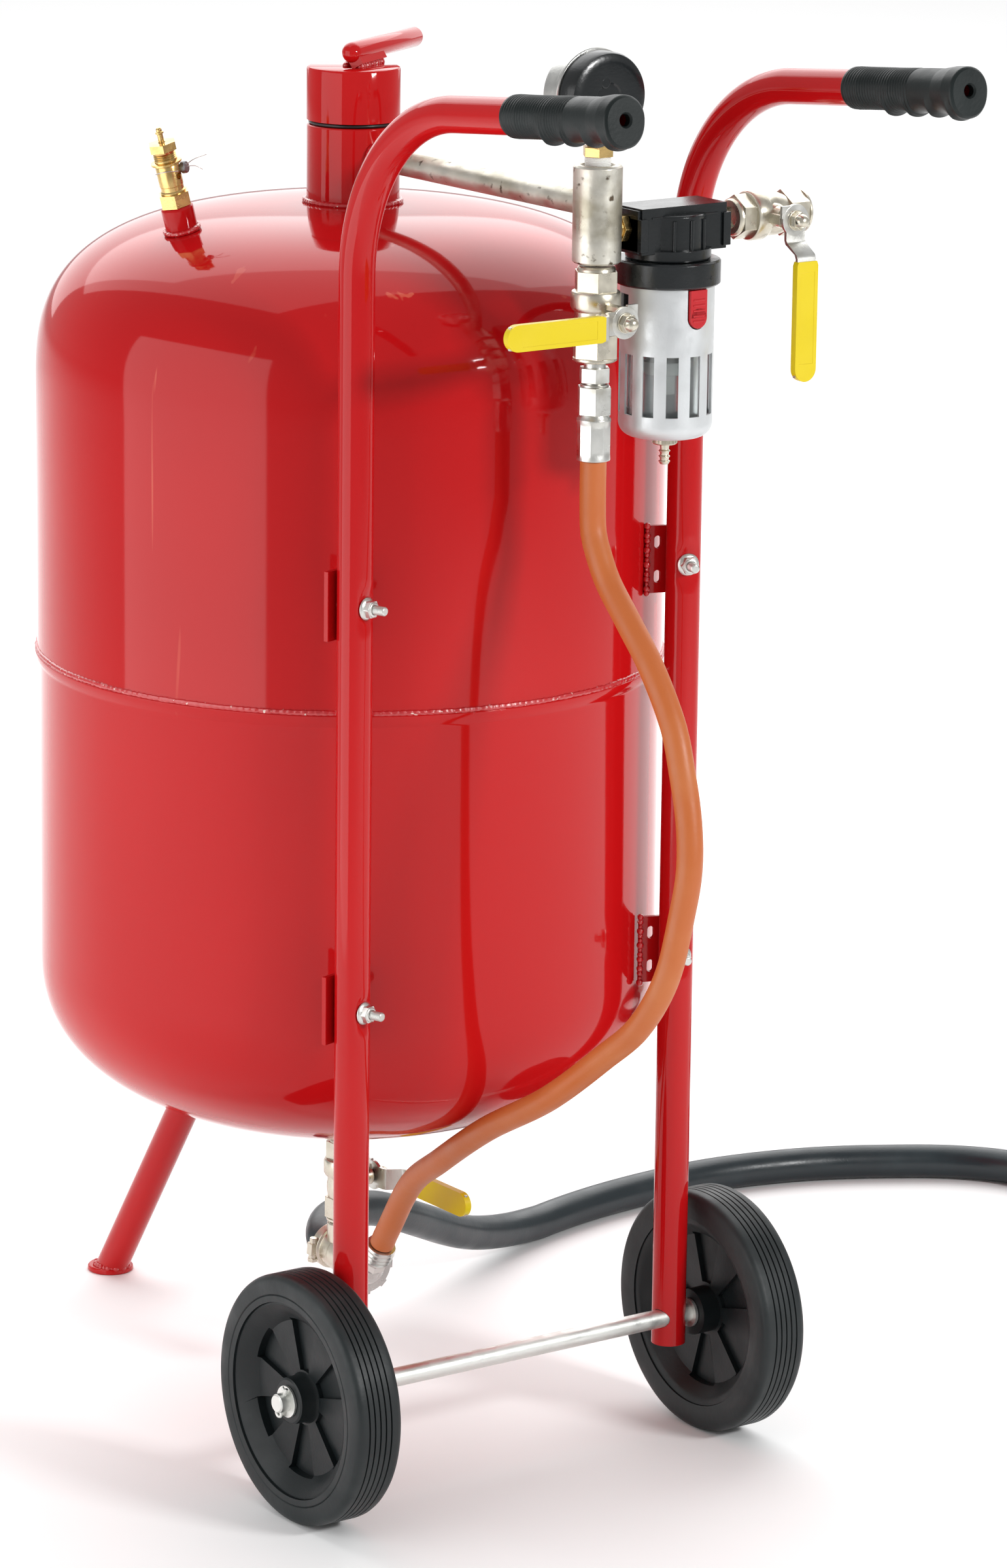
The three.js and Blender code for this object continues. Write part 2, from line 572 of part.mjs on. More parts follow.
// ---------------------------------------------------------------- water filter
function buildFilter() {
  const { x, z, guardR, collarR, slots } = FILTER;
  const y = MANIFOLD.y;
  const headLeft = 20.6;
  const headRight = 88;
  const nipple = join(
    rod(6.6, MANIFOLD.couplingR - 2, headLeft + 2, 16),
    hex(15, MANIFOLD.couplingR + 0.6, headLeft - 0.6),
  );
  const couplingClear = place(rod(MANIFOLD.couplingR + GAP, 700, 900, 18), vec(0, y, 0));
  const headClear = block([headLeft - GAP, y - 40, z - 40], [headLeft + 60, y + 40, z + 40]);
  const placed = place(nipple, vec(0, y, LINE_Z), vec(1, 0, 0), 30);
  add('filter_nipple', placed.subtract(couplingClear).subtract(headClear), brass);

  const low = z - 14;
  const high = z + 14;
  const collarTop = 781.5;
  const head = join(
    block([headLeft, y - 15, low], [headRight, y + 15, high]),
    block([headLeft - 0.01, y - 17, low + 2], [headLeft + 5, y + 17, high - 6]),
    block([headRight - 5, y - 17, low + 2], [headRight, y + 17, high - 6]),
    place(rod(22, low - 4, high - 5, 18), vec(x, y - 1, 0)),
    place(rod(collarR - 6, collarTop + GAP, low + 2, 18), vec(x, y, 0)),
  );
  add('filter_head', head, blackPlastic);

  const collarLow = 766;
  const collar = ring(guardR - 4.6, collarR, collarLow, collarTop, 18);
  add('filter_collar', place(collar, vec(x, y, 0)), blackPlastic);

  const guardTop = collarLow - GAP;
  const guardLow = 673;
  const shell = turned([
    [6, guardLow], [guardR - 9, guardLow], [guardR, guardLow + 9],
    [guardR, guardTop], [guardR - 1.6, guardTop], [guardR - 1.6, guardLow + 9.6],
    [guardR - 9, guardLow + 2], [6, guardLow + 2], [6, guardLow],
  ], 18);
  const cuts = [];
  for (let i = 0; i < slots; i += 1) {
    const slot = block([guardR - 6, -3.7, 688], [guardR + 4, 3.7, 725]);
    cuts.push(place(slot, vec(0, 0, 0), UP, (360 * i) / slots + 1));
  }
  const latchTurn = -87;
  const latchWay = place(block([guardR - 6, -7.1, 741], [guardR + 4, 7.1, 767]), vec(0, 0, 0), UP, latchTurn);
  add('filter_guard', place(shell.subtract(join(...cuts, latchWay)), vec(x, y, 0)), silverPaint);

  const latch = join(
    block([guardR - 1.4, -6.6, 748.4], [guardR + 1.8, 6.6, guardTop - 0.2]),
    place(rod(6.6, guardR - 1.4, guardR + 1.8, 12), vec(0, 0, 748.5), vec(1, 0, 0)),
  );
  add('filter_latch', place(place(latch, vec(0, 0, 0), UP, latchTurn), vec(x, y, 0)), redPlastic);

  const bowlR = guardR - 5.2;
  const bowl = turned([
    [5.2, 678.6], [bowlR - 8, 678.6], [bowlR, 686], [bowlR, collarTop - 3], [bowlR - 2.4, collarTop - 3],
    [bowlR - 2.4, 687], [bowlR - 9, 681.2], [5.2, 681.2], [5.2, 678.6],
  ], 18);
  add('filter_bowl', place(bowl, vec(x, y, 0)), clearPlastic);

  const drain = join(
    rod(4.6, 671, 692, 12), rod(7.4, 667.5, 672.4, 12),
    turned([[0, 655], [2.8, 655], [3.6, 657], [2.8, 658], [3.6, 660], [2.8, 661], [3, 668], [0, 668]], 12),
  );
  add('filter_drain', place(drain, vec(x, y, 0)), nickel);
}

// ---------------------------------------------------------------- air hose and its ends
const airHoseTop = vec(0, MANIFOLD.y, 663);
const teeDown = vec(0, -Math.cos(rad(TEE.tilt)), -Math.sin(rad(TEE.tilt)));
const teeCentre = vec(0, TANK.y, TEE.z);
const capFace = teeCentre.clone().addScaledVector(teeDown, 29);
const airPort = vec(0, -0.5, 0.866).normalize();
const airHoseEnd = capFace.clone().addScaledVector(airPort, 24);

// Route of the air hose, from the upper ferrule to the lower one.
const airRoute = [
  [0, -71.5, 640], [0, -73, 618], [-1, -80, 606], [-1, -89, 592], [-2, -111, 572],
  [-3, -137, 548], [-4, -162, 515], [-5, -172, 491], [-6, -181, 462], [-8, -185, 434],
  [-10, -181, 405], [-14, -172, 364], [-18, -151, 330], [-21, -120, 304], [-22, -66, 265],
  [-20, 3, 227], [-15, 61, 190], [-8, 101, 164],
];

function smoothStations(points, count) {
  return new THREE.CatmullRomCurve3(points, false, 'centripetal').getSpacedPoints(count);
}

function buildAirHose() {
  const y = MANIFOLD.y;
  const upper = join(
    rod(6.2, 700, 722.5, 12), hex(17, 710.5, 719.5), hex(19, 691, 708),
    turned([[0, 663], [9.8, 663], [10.6, 666], [10.2, 686], [8.6, 690], [8.6, 691.5], [0, 691.5]], 16),
  );
  add('air_hose_upper_end', place(upper, vec(0, y, 0)), zinc);

  const lower = join(
    rod(5, 3, 10, 12), hex(14, 4, 9),
    turned([[0, 9], [8.4, 9], [10, 12], [10.4, 22], [9.8, 24], [0, 24]], 16),
  );
  const nutClear = place(join(rod(21, 0, 28 + GAP, 16), rod(11.8, 0, 33, 16)), teeCentre, teeDown);
  add('air_hose_lower_end', place(lower, capFace, airPort).subtract(nutClear), zinc);

  const first = vec(0, y, 663 - GAP);
  const last = airHoseEnd.clone().addScaledVector(airPort, GAP);
  const middle = airRoute.map(([px, py, pz]) => vec(px, py, pz));
  const route = [vec(0, y, 655), ...middle, last.clone().addScaledVector(airPort, 8)];
  add('air_hose', swept([first, ...smoothStations(route, 25), last], AIR_HOSE_R, 8), orangeRubber);
}

// ---------------------------------------------------------------- outlet and mixing tee
const mediaValveZ = 142;

function buildOutlet() {
  const top = mediaValveZ + 30 + GAP;
  const pipe = turned([
    [6, top], [11.5, top], [11.5, 187], [11.9, 188], [11.9, 198], [6, 198], [6, top],
  ], 18);
  add('outlet_pipe', place(pipe, vec(0, TANK.y, 0)), zinc);

  const riser = join(
    rod(10, TEE.z, mediaValveZ - VALVE.half - GAP, 12),
    hex(24, TEE.z + 6, mediaValveZ - VALVE.half - 1),
  );
  const barrel = place(join(
    rod(TEE.barrelR, -20, 14, 16), rod(15, -20, -13, 16),
    block([-5, 13, -20], [5, 20, -12]),
  ), teeCentre, teeDown);
  const screw = place(block([-19, -4, -19.5], [-10, 5, -13.5]), teeCentre, teeDown);
  add('mixing_tee', join(place(riser, vec(0, TANK.y, 0)), barrel, screw), nickel);

  const cap = join(
    place(hex(34, 14 + GAP, 28), vec(0, 0, 0)),
    turned([[0, 27], [11, 27], [10, 30], [7, 32], [0, 32.5]], 18),
  );
  const portRoot = place(rod(6.4, -3, 2.6, 12), capFace, airPort);
  add('union_cap', place(cap, teeCentre, teeDown).add(portRoot), chrome);
}

// ---------------------------------------------------------------- blast hose and nozzle
const hoseStart = teeCentre.clone().addScaledVector(teeDown, -20 - GAP);
const hoseEntry = teeCentre.clone().addScaledVector(teeDown, -26);
const COIL = { x: 799, y: 193, r: 132, layers: 2, low: 0.3, entry: 185, exit: 360 };

// Route of the blast hose, from the mixing tee to the coil. On the floor its centre is at floorZ.
const floorZ = BLAST_HOSE_R + 0.7;
const blastRoute = [
  [8, 226, 95], [22, 241, 96], [47, 256, 94], [75, 267, 88], [104, 279, 76], [137, 296, 60], [168, 312, 45],
  [204, 332, 30], [248, 354, 18], [290, 370, floorZ], [345, 384, floorZ], [400, 391, floorZ],
  [450, 392, floorZ], [495, 385, floorZ], [540, 371, floorZ], [585, 348, floorZ], [627, 319, floorZ],
  [652, 288, floorZ], [664, 250, floorZ], [668, 215, floorZ],
];

// A point of the coil's middle line, at an angle about its centre and a height.
const coilPoint = (angle, z) =>
  vec(COIL.x + COIL.r * Math.cos(rad(angle)), COIL.y + COIL.r * Math.sin(rad(angle)), z);

function buildBlastHose() {
  const out = COIL.r + BLAST_HOSE_R;
  const inn = COIL.r - BLAST_HOSE_R;
  const top = COIL.low + COIL.layers * 2 * BLAST_HOSE_R;
  const coilRing = (margin) => place(turned([
    [inn + 4 - margin, COIL.low - margin], [out - 4 + margin, COIL.low - margin],
    [out + margin, COIL.low + 5],
    [out + margin, top - 5], [out - 4 + margin, top + margin], [inn + 4 - margin, top + margin],
    [inn - margin, top - 5], [inn - margin, COIL.low + 5], [inn + 4 - margin, COIL.low - margin],
  ], 32), vec(COIL.x, COIL.y, 0));

  const route = [hoseEntry, ...blastRoute.map(([px, py, pz]) => vec(px, py, pz))];
  route.push(coilPoint(COIL.entry, floorZ));
  const stations = smoothStations(route, 30);
  const centre = vec(COIL.x, COIL.y, floorZ);
  const clear = out + BLAST_HOSE_R + GAP;
  const split = stations.findIndex((station, i) => i > 20 && station.distanceTo(centre) < clear) - 1;
  const meeting = stations[split];
  const heading = stations[split + 1].clone().sub(stations[split - 1]).normalize();
  const along = (distance) => meeting.clone().addScaledVector(heading, distance);
  const run = [hoseStart, ...stations.slice(0, split), along(-4), along(-GAP / 2)];
  add('blast_hose', swept(run, BLAST_HOSE_R, 8), blackRubber);

  const joining = swept([along(GAP / 2), along(4), ...stations.slice(split + 1)], BLAST_HOSE_R, 8);
  const leaving = coilPoint(COIL.exit, top - BLAST_HOSE_R);
  const tailStart = leaving.clone().add(vec(0, 40, -1));
  const tailStations = [leaving, tailStart, tailEnd.clone().addScaledVector(nozzleAxis, -14), tailEnd];
  const tail = swept(tailStations, BLAST_HOSE_R, 8);
  add('blast_hose_coil', join(coilRing(0), joining, tail), blackRubber);
}

// The nozzle holder hangs off the coil's top turn and slopes to the floor.
const tailEnd = vec(COIL.x + COIL.r, COIL.y + 92, 31);
const nozzleSlope = rad(8.7);
const nozzleAxis = vec(0, Math.cos(nozzleSlope), -Math.sin(nozzleSlope));

function buildNozzle() {
  const origin = tailEnd.clone().addScaledVector(nozzleAxis, GAP);
  const valveAt = 62;
  const ferrule = place(turned([
    [0, 0], [14, 0], [15, 2], [15, 26], [10, 29], [10, 36], [0, 36],
  ], 16), origin, nozzleAxis);
  const centre = origin.clone().addScaledVector(nozzleAxis, valveAt);
  const up = vec(0, Math.sin(nozzleSlope), Math.cos(nozzleSlope));
  const put = (body) => placeValve(body, centre, nozzleAxis.clone().negate(), up);
  add('nozzle_valve_body', put(valveBody(26, 28)).add(ferrule), nickel);
  const collar = place(rod(6, 25, 28.5), vec(0, 0, 0), vec(0, 1, 0));
  const turning = put(join(valveLever(26, 92), valveStem(26), collar));
  add('nozzle_valve_lever', turning, yellowVinyl);
  const tip = place(turned([
    [0, 28], [11, 28], [13.5, 30], [13.5, 48], [8, 52], [8, 82], [3.2, 82], [3.2, 34], [0, 34],
  ], 16), centre, nozzleAxis);
  add('blast_nozzle', tip, ceramic);
}

buildTank();
buildLid();
buildSafetyValve();
buildFrame();
buildTabs();
buildWheels();
buildLeg();
buildManifold();
buildGauge();
buildFilter();
buildAirHose();
buildOutlet();
buildBlastHose();
buildNozzle();

buildValve('control_valve', vec(0, MANIFOLD.y, controlValveZ), UP, vec(0, -1, 0),
  { stemTop: 29, capEnd: 30.5, leverLength: 95 });
buildValve('inlet_valve', vec(127, MANIFOLD.y, LINE_Z), vec(-1, 0, 0), vec(0, -1, 0),
  { stemTop: 29, capEnd: VALVE.half, leverLength: 97 });
buildValve('media_valve', vec(0, TANK.y, mediaValveZ), UP, vec(1, 0, 0),
  { stemTop: 21, capEnd: 30, leverLength: 92 });

export default group;
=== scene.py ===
"""Wheeled pressure-pot abrasive blaster: the visible model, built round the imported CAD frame.

Shapes are made in millimetres, in the frame that part.mjs lays the machine out in, and put() brings
them to the row frame in metres.
"""
import math

import bmesh
import bpy
from mathutils import Matrix, Vector, noise


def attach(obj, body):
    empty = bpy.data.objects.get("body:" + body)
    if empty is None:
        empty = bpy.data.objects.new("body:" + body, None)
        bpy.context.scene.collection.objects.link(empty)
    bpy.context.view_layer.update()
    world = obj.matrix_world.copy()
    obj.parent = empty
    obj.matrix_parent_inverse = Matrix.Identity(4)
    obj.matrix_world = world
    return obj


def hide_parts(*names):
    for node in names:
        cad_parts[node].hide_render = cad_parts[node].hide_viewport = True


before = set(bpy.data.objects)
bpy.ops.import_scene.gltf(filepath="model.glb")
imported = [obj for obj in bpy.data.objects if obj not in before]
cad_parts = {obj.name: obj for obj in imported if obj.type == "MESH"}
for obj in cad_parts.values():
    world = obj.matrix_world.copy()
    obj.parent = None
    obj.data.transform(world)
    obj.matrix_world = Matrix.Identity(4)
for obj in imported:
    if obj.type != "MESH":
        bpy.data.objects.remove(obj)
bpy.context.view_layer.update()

MM = 0.001
ORIGIN_Y = 115
shift = Matrix.Translation
UP = Vector((0, 0, 1))
TO_ROW = Matrix.Scale(MM, 4) @ shift((0, -ORIGIN_Y, 0))
rad = math.radians
SHARP_ANGLE, BEVEL_ANGLE = 35, 32


def spun(angle):
    """A turn about Z, in degrees."""
    return Matrix.Rotation(rad(angle), 4, "Z")


# ---------------------------------------------------------------- shapes, as (points, faces)
def turned(outline, segments=72):
    """A body of revolution about Z. The outline's points are (radius, height)."""
    closed = outline[0] == outline[-1]
    profile = outline[:-1] if closed else outline
    points, rows = [], []
    for r, z in profile:
        if r < 1e-9:
            rows.append([len(points)])
            points.append(Vector((0, 0, z)))
            continue
        rows.append(list(range(len(points), len(points) + segments)))
        for i in range(segments):
            angle = 2 * math.pi * i / segments
            points.append(Vector((r * math.cos(angle), r * math.sin(angle), z)))
    faces = []
    pairs = list(zip(rows, rows[1:])) + ([(rows[-1], rows[0])] if closed else [])
    for low, high in pairs:
        for i in range(segments):
            j = (i + 1) % segments
            if len(low) == 1 and len(high) > 1:
                faces.append((low[0], high[j], high[i]))
            elif len(high) == 1 and len(low) > 1:
                faces.append((low[i], low[j], high[0]))
            elif len(low) > 1:
                faces.append((low[i], low[j], high[j], high[i]))
    return points, faces


def rod(r, low, high, segments=48):
    return turned([(0, low), (r, low), (r, high), (0, high)], segments)


def ring(inner, outer, low, high, segments=72):
    return hoop([(inner, low), (outer, low), (outer, high), (inner, high)], segments)


def bead(radius, thick, z, segments=96, sides=10):
    """A torus about Z, such as a weld fillet or a seal."""
    outline = []
    for i in range(sides + 1):
        angle = 2 * math.pi * (i % sides) / sides
        outline.append((radius + thick * math.cos(angle), z + thick * math.sin(angle)))
    return turned(outline, segments)


def hexagon(flats, low, high):
    """A hexagonal prism, flats wide across two opposite faces."""
    return rod(flats / math.sqrt(3), low, high, 6)


def hoop(outline, segments):
    """A turned ring. The outline doesn't repeat its first point."""
    return turned([*outline, outline[0]], segments)


def spindle(outline, segments):
    """A turned solid. The outline's two ends are closed by flat faces out from the axis."""
    return turned([(0, outline[0][1]), *outline, (0, outline[-1][1])], segments)


def plate(outline, low, high):
    """A flat plate with the given outline in XY, from z = low to z = high."""
    count = len(outline)
    points = [Vector((x, y, z)) for z in (low, high) for x, y in outline]
    faces = [tuple(reversed(range(count))), tuple(range(count, 2 * count))]
    for i in range(count):
        j = (i + 1) % count
        faces.append((i, j, count + j, count + i))
    return points, faces


def block(low, high):
    """A box between two opposite corners."""
    x, y = zip(low[:2], high[:2])
    return plate([(x[0], y[0]), (x[1], y[0]), (x[1], y[1]), (x[0], y[1])], low[2], high[2])


def ball(r, centre=(0, 0, 0), rings=16, segments=32):
    outline = [(r * math.cos(a), r * math.sin(a)) for a in (rad(-90 + 180 * i / rings)
                                                            for i in range(rings + 1))]
    outline[0], outline[-1] = (0, -r), (0, r)
    return put(turned(outline, segments), shift(centre))


def put(shape, matrix):
    """The shape with every point moved by the matrix."""
    points, faces = shape
    return [matrix @ p for p in points], faces


def join(*shapes):
    """The shapes as one, still overlapping where they overlap."""
    points, faces = [], []
    for some_points, some_faces in shapes:
        start = len(points)
        points.extend(some_points)
        faces.extend(tuple(start + i for i in face) for face in some_faces)
    return points, faces


def aim(origin, direction=UP, spin=0):
    """The matrix that takes local Z to direction from origin, after a spin about Z."""
    turn = UP.rotation_difference(Vector(direction).normalized()).to_matrix().to_4x4()
    return shift(origin) @ turn @ Matrix.Rotation(rad(spin), 4, "Z")


def basis(x, y, z, origin):
    """The matrix that takes the local axes to x, y and z at origin."""
    matrix = Matrix.Identity(4)
    for column, axis in enumerate((x, y, z)):
        for row in range(3):
            matrix[row][column] = axis[row]
    return shift(origin) @ matrix


def wall(rows, sides, base=0):
    """The faces between rows of points that go round and round, with the given number in each row."""
    faces = []
    for i in range(rows - 1):
        low, high = base + i * sides, base + (i + 1) * sides
        for k in range(sides):
            n = (k + 1) % sides
            faces.append((low + k, low + n, high + n, high + k))
    return faces


def capped(points, sides):
    """A bar made of rows of points, with the given number in each row and a cap at each end."""
    caps = [tuple(range(sides)), tuple(range(len(points) - sides, len(points)))]
    return points, wall(len(points) // sides, sides) + caps


def swept(stations, radius, sides=28, bore=0.0):
    """A round bar, or a tube if bore is given, through the stations."""
    count = len(stations)
    tangents = [(stations[min(i + 1, count - 1)] - stations[max(i - 1, 0)]).normalized()
                for i in range(count)]
    side = tangents[0].orthogonal().normalized()
    frames = []
    for i, station in enumerate(stations):
        if i:
            side = tangents[i - 1].rotation_difference(tangents[i]) @ side
        side = (side - tangents[i] * side.dot(tangents[i])).normalized()
        frames.append((station, side.copy(), tangents[i].cross(side)))
    points = []
    for r in (radius, bore) if bore else (radius,):
        for station, across, other in frames:
            for k in range(sides):
                angle = 2 * math.pi * k / sides
                points.append(station + across * (r * math.cos(angle)) + other * (r * math.sin(angle)))
    if not bore:
        return capped(points, sides)
    inside = count * sides
    faces = wall(count, sides) + wall(count, sides, inside)
    for low in (0, inside - sides):
        for k in range(sides):
            n = (k + 1) % sides
            faces.append((low + k, low + n, inside + low + n, inside + low + k))
    return points, faces


def smooth_route(points, step):
    """A centripetal Catmull-Rom curve through the points, in steps of about the given length."""
    padded = [points[0] * 2 - points[1], *points, points[-1] * 2 - points[-2]]
    route = []
    for i in range(len(points) - 1):
        p0, p1, p2, p3 = padded[i:i + 4]
        d0, d1, d2 = (max((b - a).length ** 0.5, 1e-4) for a, b in ((p0, p1), (p1, p2), (p2, p3)))
        t1 = ((p1 - p0) / d0 - (p2 - p0) / (d0 + d1) + (p2 - p1) / d1) * d1
        t2 = ((p2 - p1) / d1 - (p3 - p1) / (d1 + d2) + (p3 - p2) / d2) * d1
        pieces = max(2, round((p2 - p1).length / step))
        for k in range(pieces):
            t = k / pieces
            route.append(p1 * (2 * t**3 - 3 * t**2 + 1) + t1 * (t**3 - 2 * t**2 + t)
                         + p2 * (3 * t**2 - 2 * t**3) + t2 * (t**3 - t**2))
    route.append(points[-1].copy())
    return route


def mesh_object(name, shape):
    """A Blender object made from a shape, with its faces turned outwards."""
    points, faces = shape
    mesh = bpy.data.meshes.new(name)
    mesh.from_pydata([TO_ROW @ p for p in points], [], faces)
    edit = bmesh.new()
    edit.from_mesh(mesh)
    bmesh.ops.recalc_face_normals(edit, faces=edit.faces)
    edit.to_mesh(mesh)
    edit.free()
    made = bpy.data.objects.new(name, mesh)
    bpy.context.scene.collection.objects.link(made)
    return made


def cut_away(made, cutters, overlapping):
    """Cuts each cutter out of the made piece. overlapping says that it is several shapes joined."""
    for cutter in cutters:
        tool = mesh_object(f"{made.name}_cutter", cutter)
        modifier = made.modifiers.new("cut", "BOOLEAN")
        modifier.object = tool
        modifier.operation = "DIFFERENCE"
        modifier.solver = "EXACT"
        modifier.use_self = overlapping
        bpy.context.view_layer.update()
        evaluated = made.evaluated_get(bpy.context.evaluated_depsgraph_get())
        fresh = bpy.data.meshes.new_from_object(evaluated)
        made.modifiers.clear()
        old = made.data
        made.data = fresh
        bpy.data.meshes.remove(old)
        bpy.data.objects.remove(tool)


def piece(name, shape, body, material, slot, nodes=(), bevel=0.35, cutters=(), overlapping=False):
    """A visible piece that rides on body and stands in for the CAD nodes. bevel is in millimetres."""
    made = mesh_object(name, shape)
    cut_away(made, cutters, overlapping)
    made.data.materials.append(material)
    made.data.shade_smooth()
    made.data.set_sharp_from_angle(angle=rad(SHARP_ANGLE))
    if bevel:
        modifier = made.modifiers.new("edges", "BEVEL")
        modifier.width = bevel * MM
        modifier.segments = 2
        modifier.limit_method = "ANGLE"
        modifier.angle_limit = rad(BEVEL_ANGLE)
        modifier.harden_normals = True
        modifier.use_clamp_overlap = True
    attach(made, body)
    if nodes:
        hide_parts(*([nodes] if isinstance(nodes, str) else nodes))
    return made


def fixed(name, shape, *rest, **options):
    """A piece that rides on the machine's own body."""
    return piece(name, shape, "machine", *rest, **options)


def weld_bead(name, shape, body="machine"):
    """A painted weld bead, which stands in for no CAD node."""
    return piece(name, shape, body, WELD, "paint", bevel=0)


# ---------------------------------------------------------------- materials
class Look:
    """A principled material and short ways to wire its procedural detail."""

    def __init__(self, name, color, roughness, metallic=0.0, **sockets):
        self.material = bpy.data.materials.new(name)
        self.material.use_nodes = True
        self.nodes = self.material.node_tree.nodes
        self.links = self.material.node_tree.links
        self.shader = self.nodes["Principled BSDF"]
        self.color = (*color, 1.0)
        self.set("Base Color", self.color)
        self.set("Roughness", roughness)
        self.set("Metallic", metallic)
        for key, value in sockets.items():
            self.set(key.replace("_", " "), value)
        self.place = self.nodes.new("ShaderNodeTexCoord").outputs["Object"]

    def set(self, socket, value):
        self.shader.inputs[socket].default_value = value

    def noise(self, scale, detail=4.0, stretch=(1, 1, 1), distortion=0.0):
        mapping = self.nodes.new("ShaderNodeMapping")
        mapping.inputs["Scale"].default_value = stretch
        self.links.new(self.place, mapping.inputs["Vector"])
        texture = self.nodes.new("ShaderNodeTexNoise")
        texture.inputs["Scale"].default_value = scale
        texture.inputs["Detail"].default_value = detail
        texture.inputs["Distortion"].default_value = distortion
        self.links.new(mapping.outputs["Vector"], texture.inputs["Vector"])
        return texture.outputs["Fac"]

    def ramp(self, value, low, high, start=0.0, end=1.0):
        """Maps value from low..high to start..end, held outside."""
        node = self.nodes.new("ShaderNodeMapRange")
        node.inputs["From Min"].default_value = low
        node.inputs["From Max"].default_value = high
        node.inputs["To Min"].default_value = start
        node.inputs["To Max"].default_value = end
        self.links.new(value, node.inputs["Value"])
        return node.outputs["Result"]

    def multiply(self, a, b):
        node = self.nodes.new("ShaderNodeMath")
        node.operation = "MULTIPLY"
        self.links.new(a, node.inputs[0])
        self.links.new(b, node.inputs[1])
        return node.outputs["Value"]

    def tint(self, value, color):
        """Mixes color into the base colour by value."""
        node = self.nodes.new("ShaderNodeMix")
        node.data_type = "RGBA"
        self.links.new(value, node.inputs["Factor"])
        base = self.shader.inputs["Base Color"]
        if base.is_linked:
            self.links.new(base.links[0].from_socket, node.inputs["A"])
        else:
            node.inputs["A"].default_value = self.color
        node.inputs["B"].default_value = (*color, 1.0)
        self.links.new(node.outputs["Result"], base)
        return self

    def rough(self, value):
        self.links.new(value, self.shader.inputs["Roughness"])
        return self

    def bump(self, value, distance, strength=1.0):
        node = self.nodes.new("ShaderNodeBump")
        node.inputs["Distance"].default_value = distance
        node.inputs["Strength"].default_value = strength
        self.links.new(value, node.inputs["Height"])
        normal = self.shader.inputs["Normal"]
        if normal.is_linked:
            self.links.new(normal.links[0].from_socket, node.inputs["Normal"])
        self.links.new(node.outputs["Normal"], normal)
        return self


def red_paint():
    """Thick glossy enamel, with orange peel, faint dust, fine scratches and bare chips."""
    look = Look("red_enamel", (0.50, 0.006, 0.007), 0.4, Specular_IOR_Level=0.0, Coat_Weight=1.0,
                Coat_Roughness=0.065, Coat_IOR=1.36)
    look.tint(look.ramp(look.noise(3.0, 2), 0.35, 0.7), (0.42, 0.004, 0.006))
    scratches = look.ramp(look.noise(42, 3, (1, 1, 0.05), 0.4), 0.705, 0.73)
    patches = look.ramp(look.noise(3.1, 1), 0.53, 0.62)
    look.tint(look.multiply(scratches, patches), (0.60, 0.10, 0.06))
    chips = look.ramp(look.noise(95, 2), 0.86, 0.87)
    look.tint(look.multiply(chips, look.ramp(look.noise(6, 1), 0.55, 0.62)), (0.45, 0.32, 0.26))
    look.bump(look.noise(240, 2), 0.00012, 0.35)
    look.bump(look.noise(7, 2), 0.0022, 0.5)
    return look.material


def weld_paint():
    """The same enamel over a weld bead, with bright flecks where it is knocked off."""
    look = Look("weld_enamel", (0.50, 0.006, 0.010), 0.35, Coat_Weight=0.9, Coat_Roughness=0.1)
    look.tint(look.ramp(look.noise(330, 3), 0.66, 0.70), (0.80, 0.62, 0.55))
    look.bump(look.noise(300, 4), 0.0006)
    return look.material


def plated(name, color, roughness, stain=(0.2, 0.17, 0.12), amount=0.6, grain=900, bump=0.00006,
           metallic=1.0):
    """Bare or plated metal with brushed grain, patches of stain and a slightly rough skin."""
    look = Look(name, color, roughness, metallic)
    look.tint(look.ramp(look.noise(60, 5), 0.5, 0.75, 0, amount), stain)
    look.rough(look.ramp(look.noise(110, 4), 0.3, 0.7, roughness * 0.75, roughness * 1.35))
    look.bump(look.noise(grain, 3), bump)
    return look.material


def galvanised():
    """Dull zinc on a bare pipe, mottled, with dark stains."""
    look = Look("galvanised_pipe", (0.66, 0.64, 0.57), 0.40, 0.85)
    look.tint(look.ramp(look.noise(38, 6, (1, 0.35, 1)), 0.44, 0.62), (0.40, 0.37, 0.29))
    look.tint(look.ramp(look.noise(150, 3), 0.62, 0.72), (0.10, 0.075, 0.05))
    look.rough(look.ramp(look.noise(60, 4), 0.3, 0.7, 0.25, 0.55))
    look.bump(look.noise(120, 5), 0.00035)
    return look.material


def moulded(name, color, roughness, dust=(0.10, 0.10, 0.10), amount=0.25, bump=0.00008, scale=500, **sockets):
    """Moulded rubber or plastic: fine texture, uneven gloss and a little dust."""
    look = Look(name, color, roughness, 0.0, **sockets)
    look.tint(look.ramp(look.noise(22, 5), 0.5, 0.8, 0, amount), dust)
    look.rough(look.ramp(look.noise(45, 4), 0.3, 0.7, roughness * 0.8, min(1, roughness * 1.25)))
    look.bump(look.noise(scale, 3), bump)
    return look.material


def clear_plastic(name, color, weight, roughness):
    """A see-through plastic or glass. weight is how much light it lets through."""
    look = Look(name, color, roughness, 0.0, Transmission_Weight=weight, IOR=1.46)
    look.bump(look.noise(60, 2), 0.0001)
    return look.material


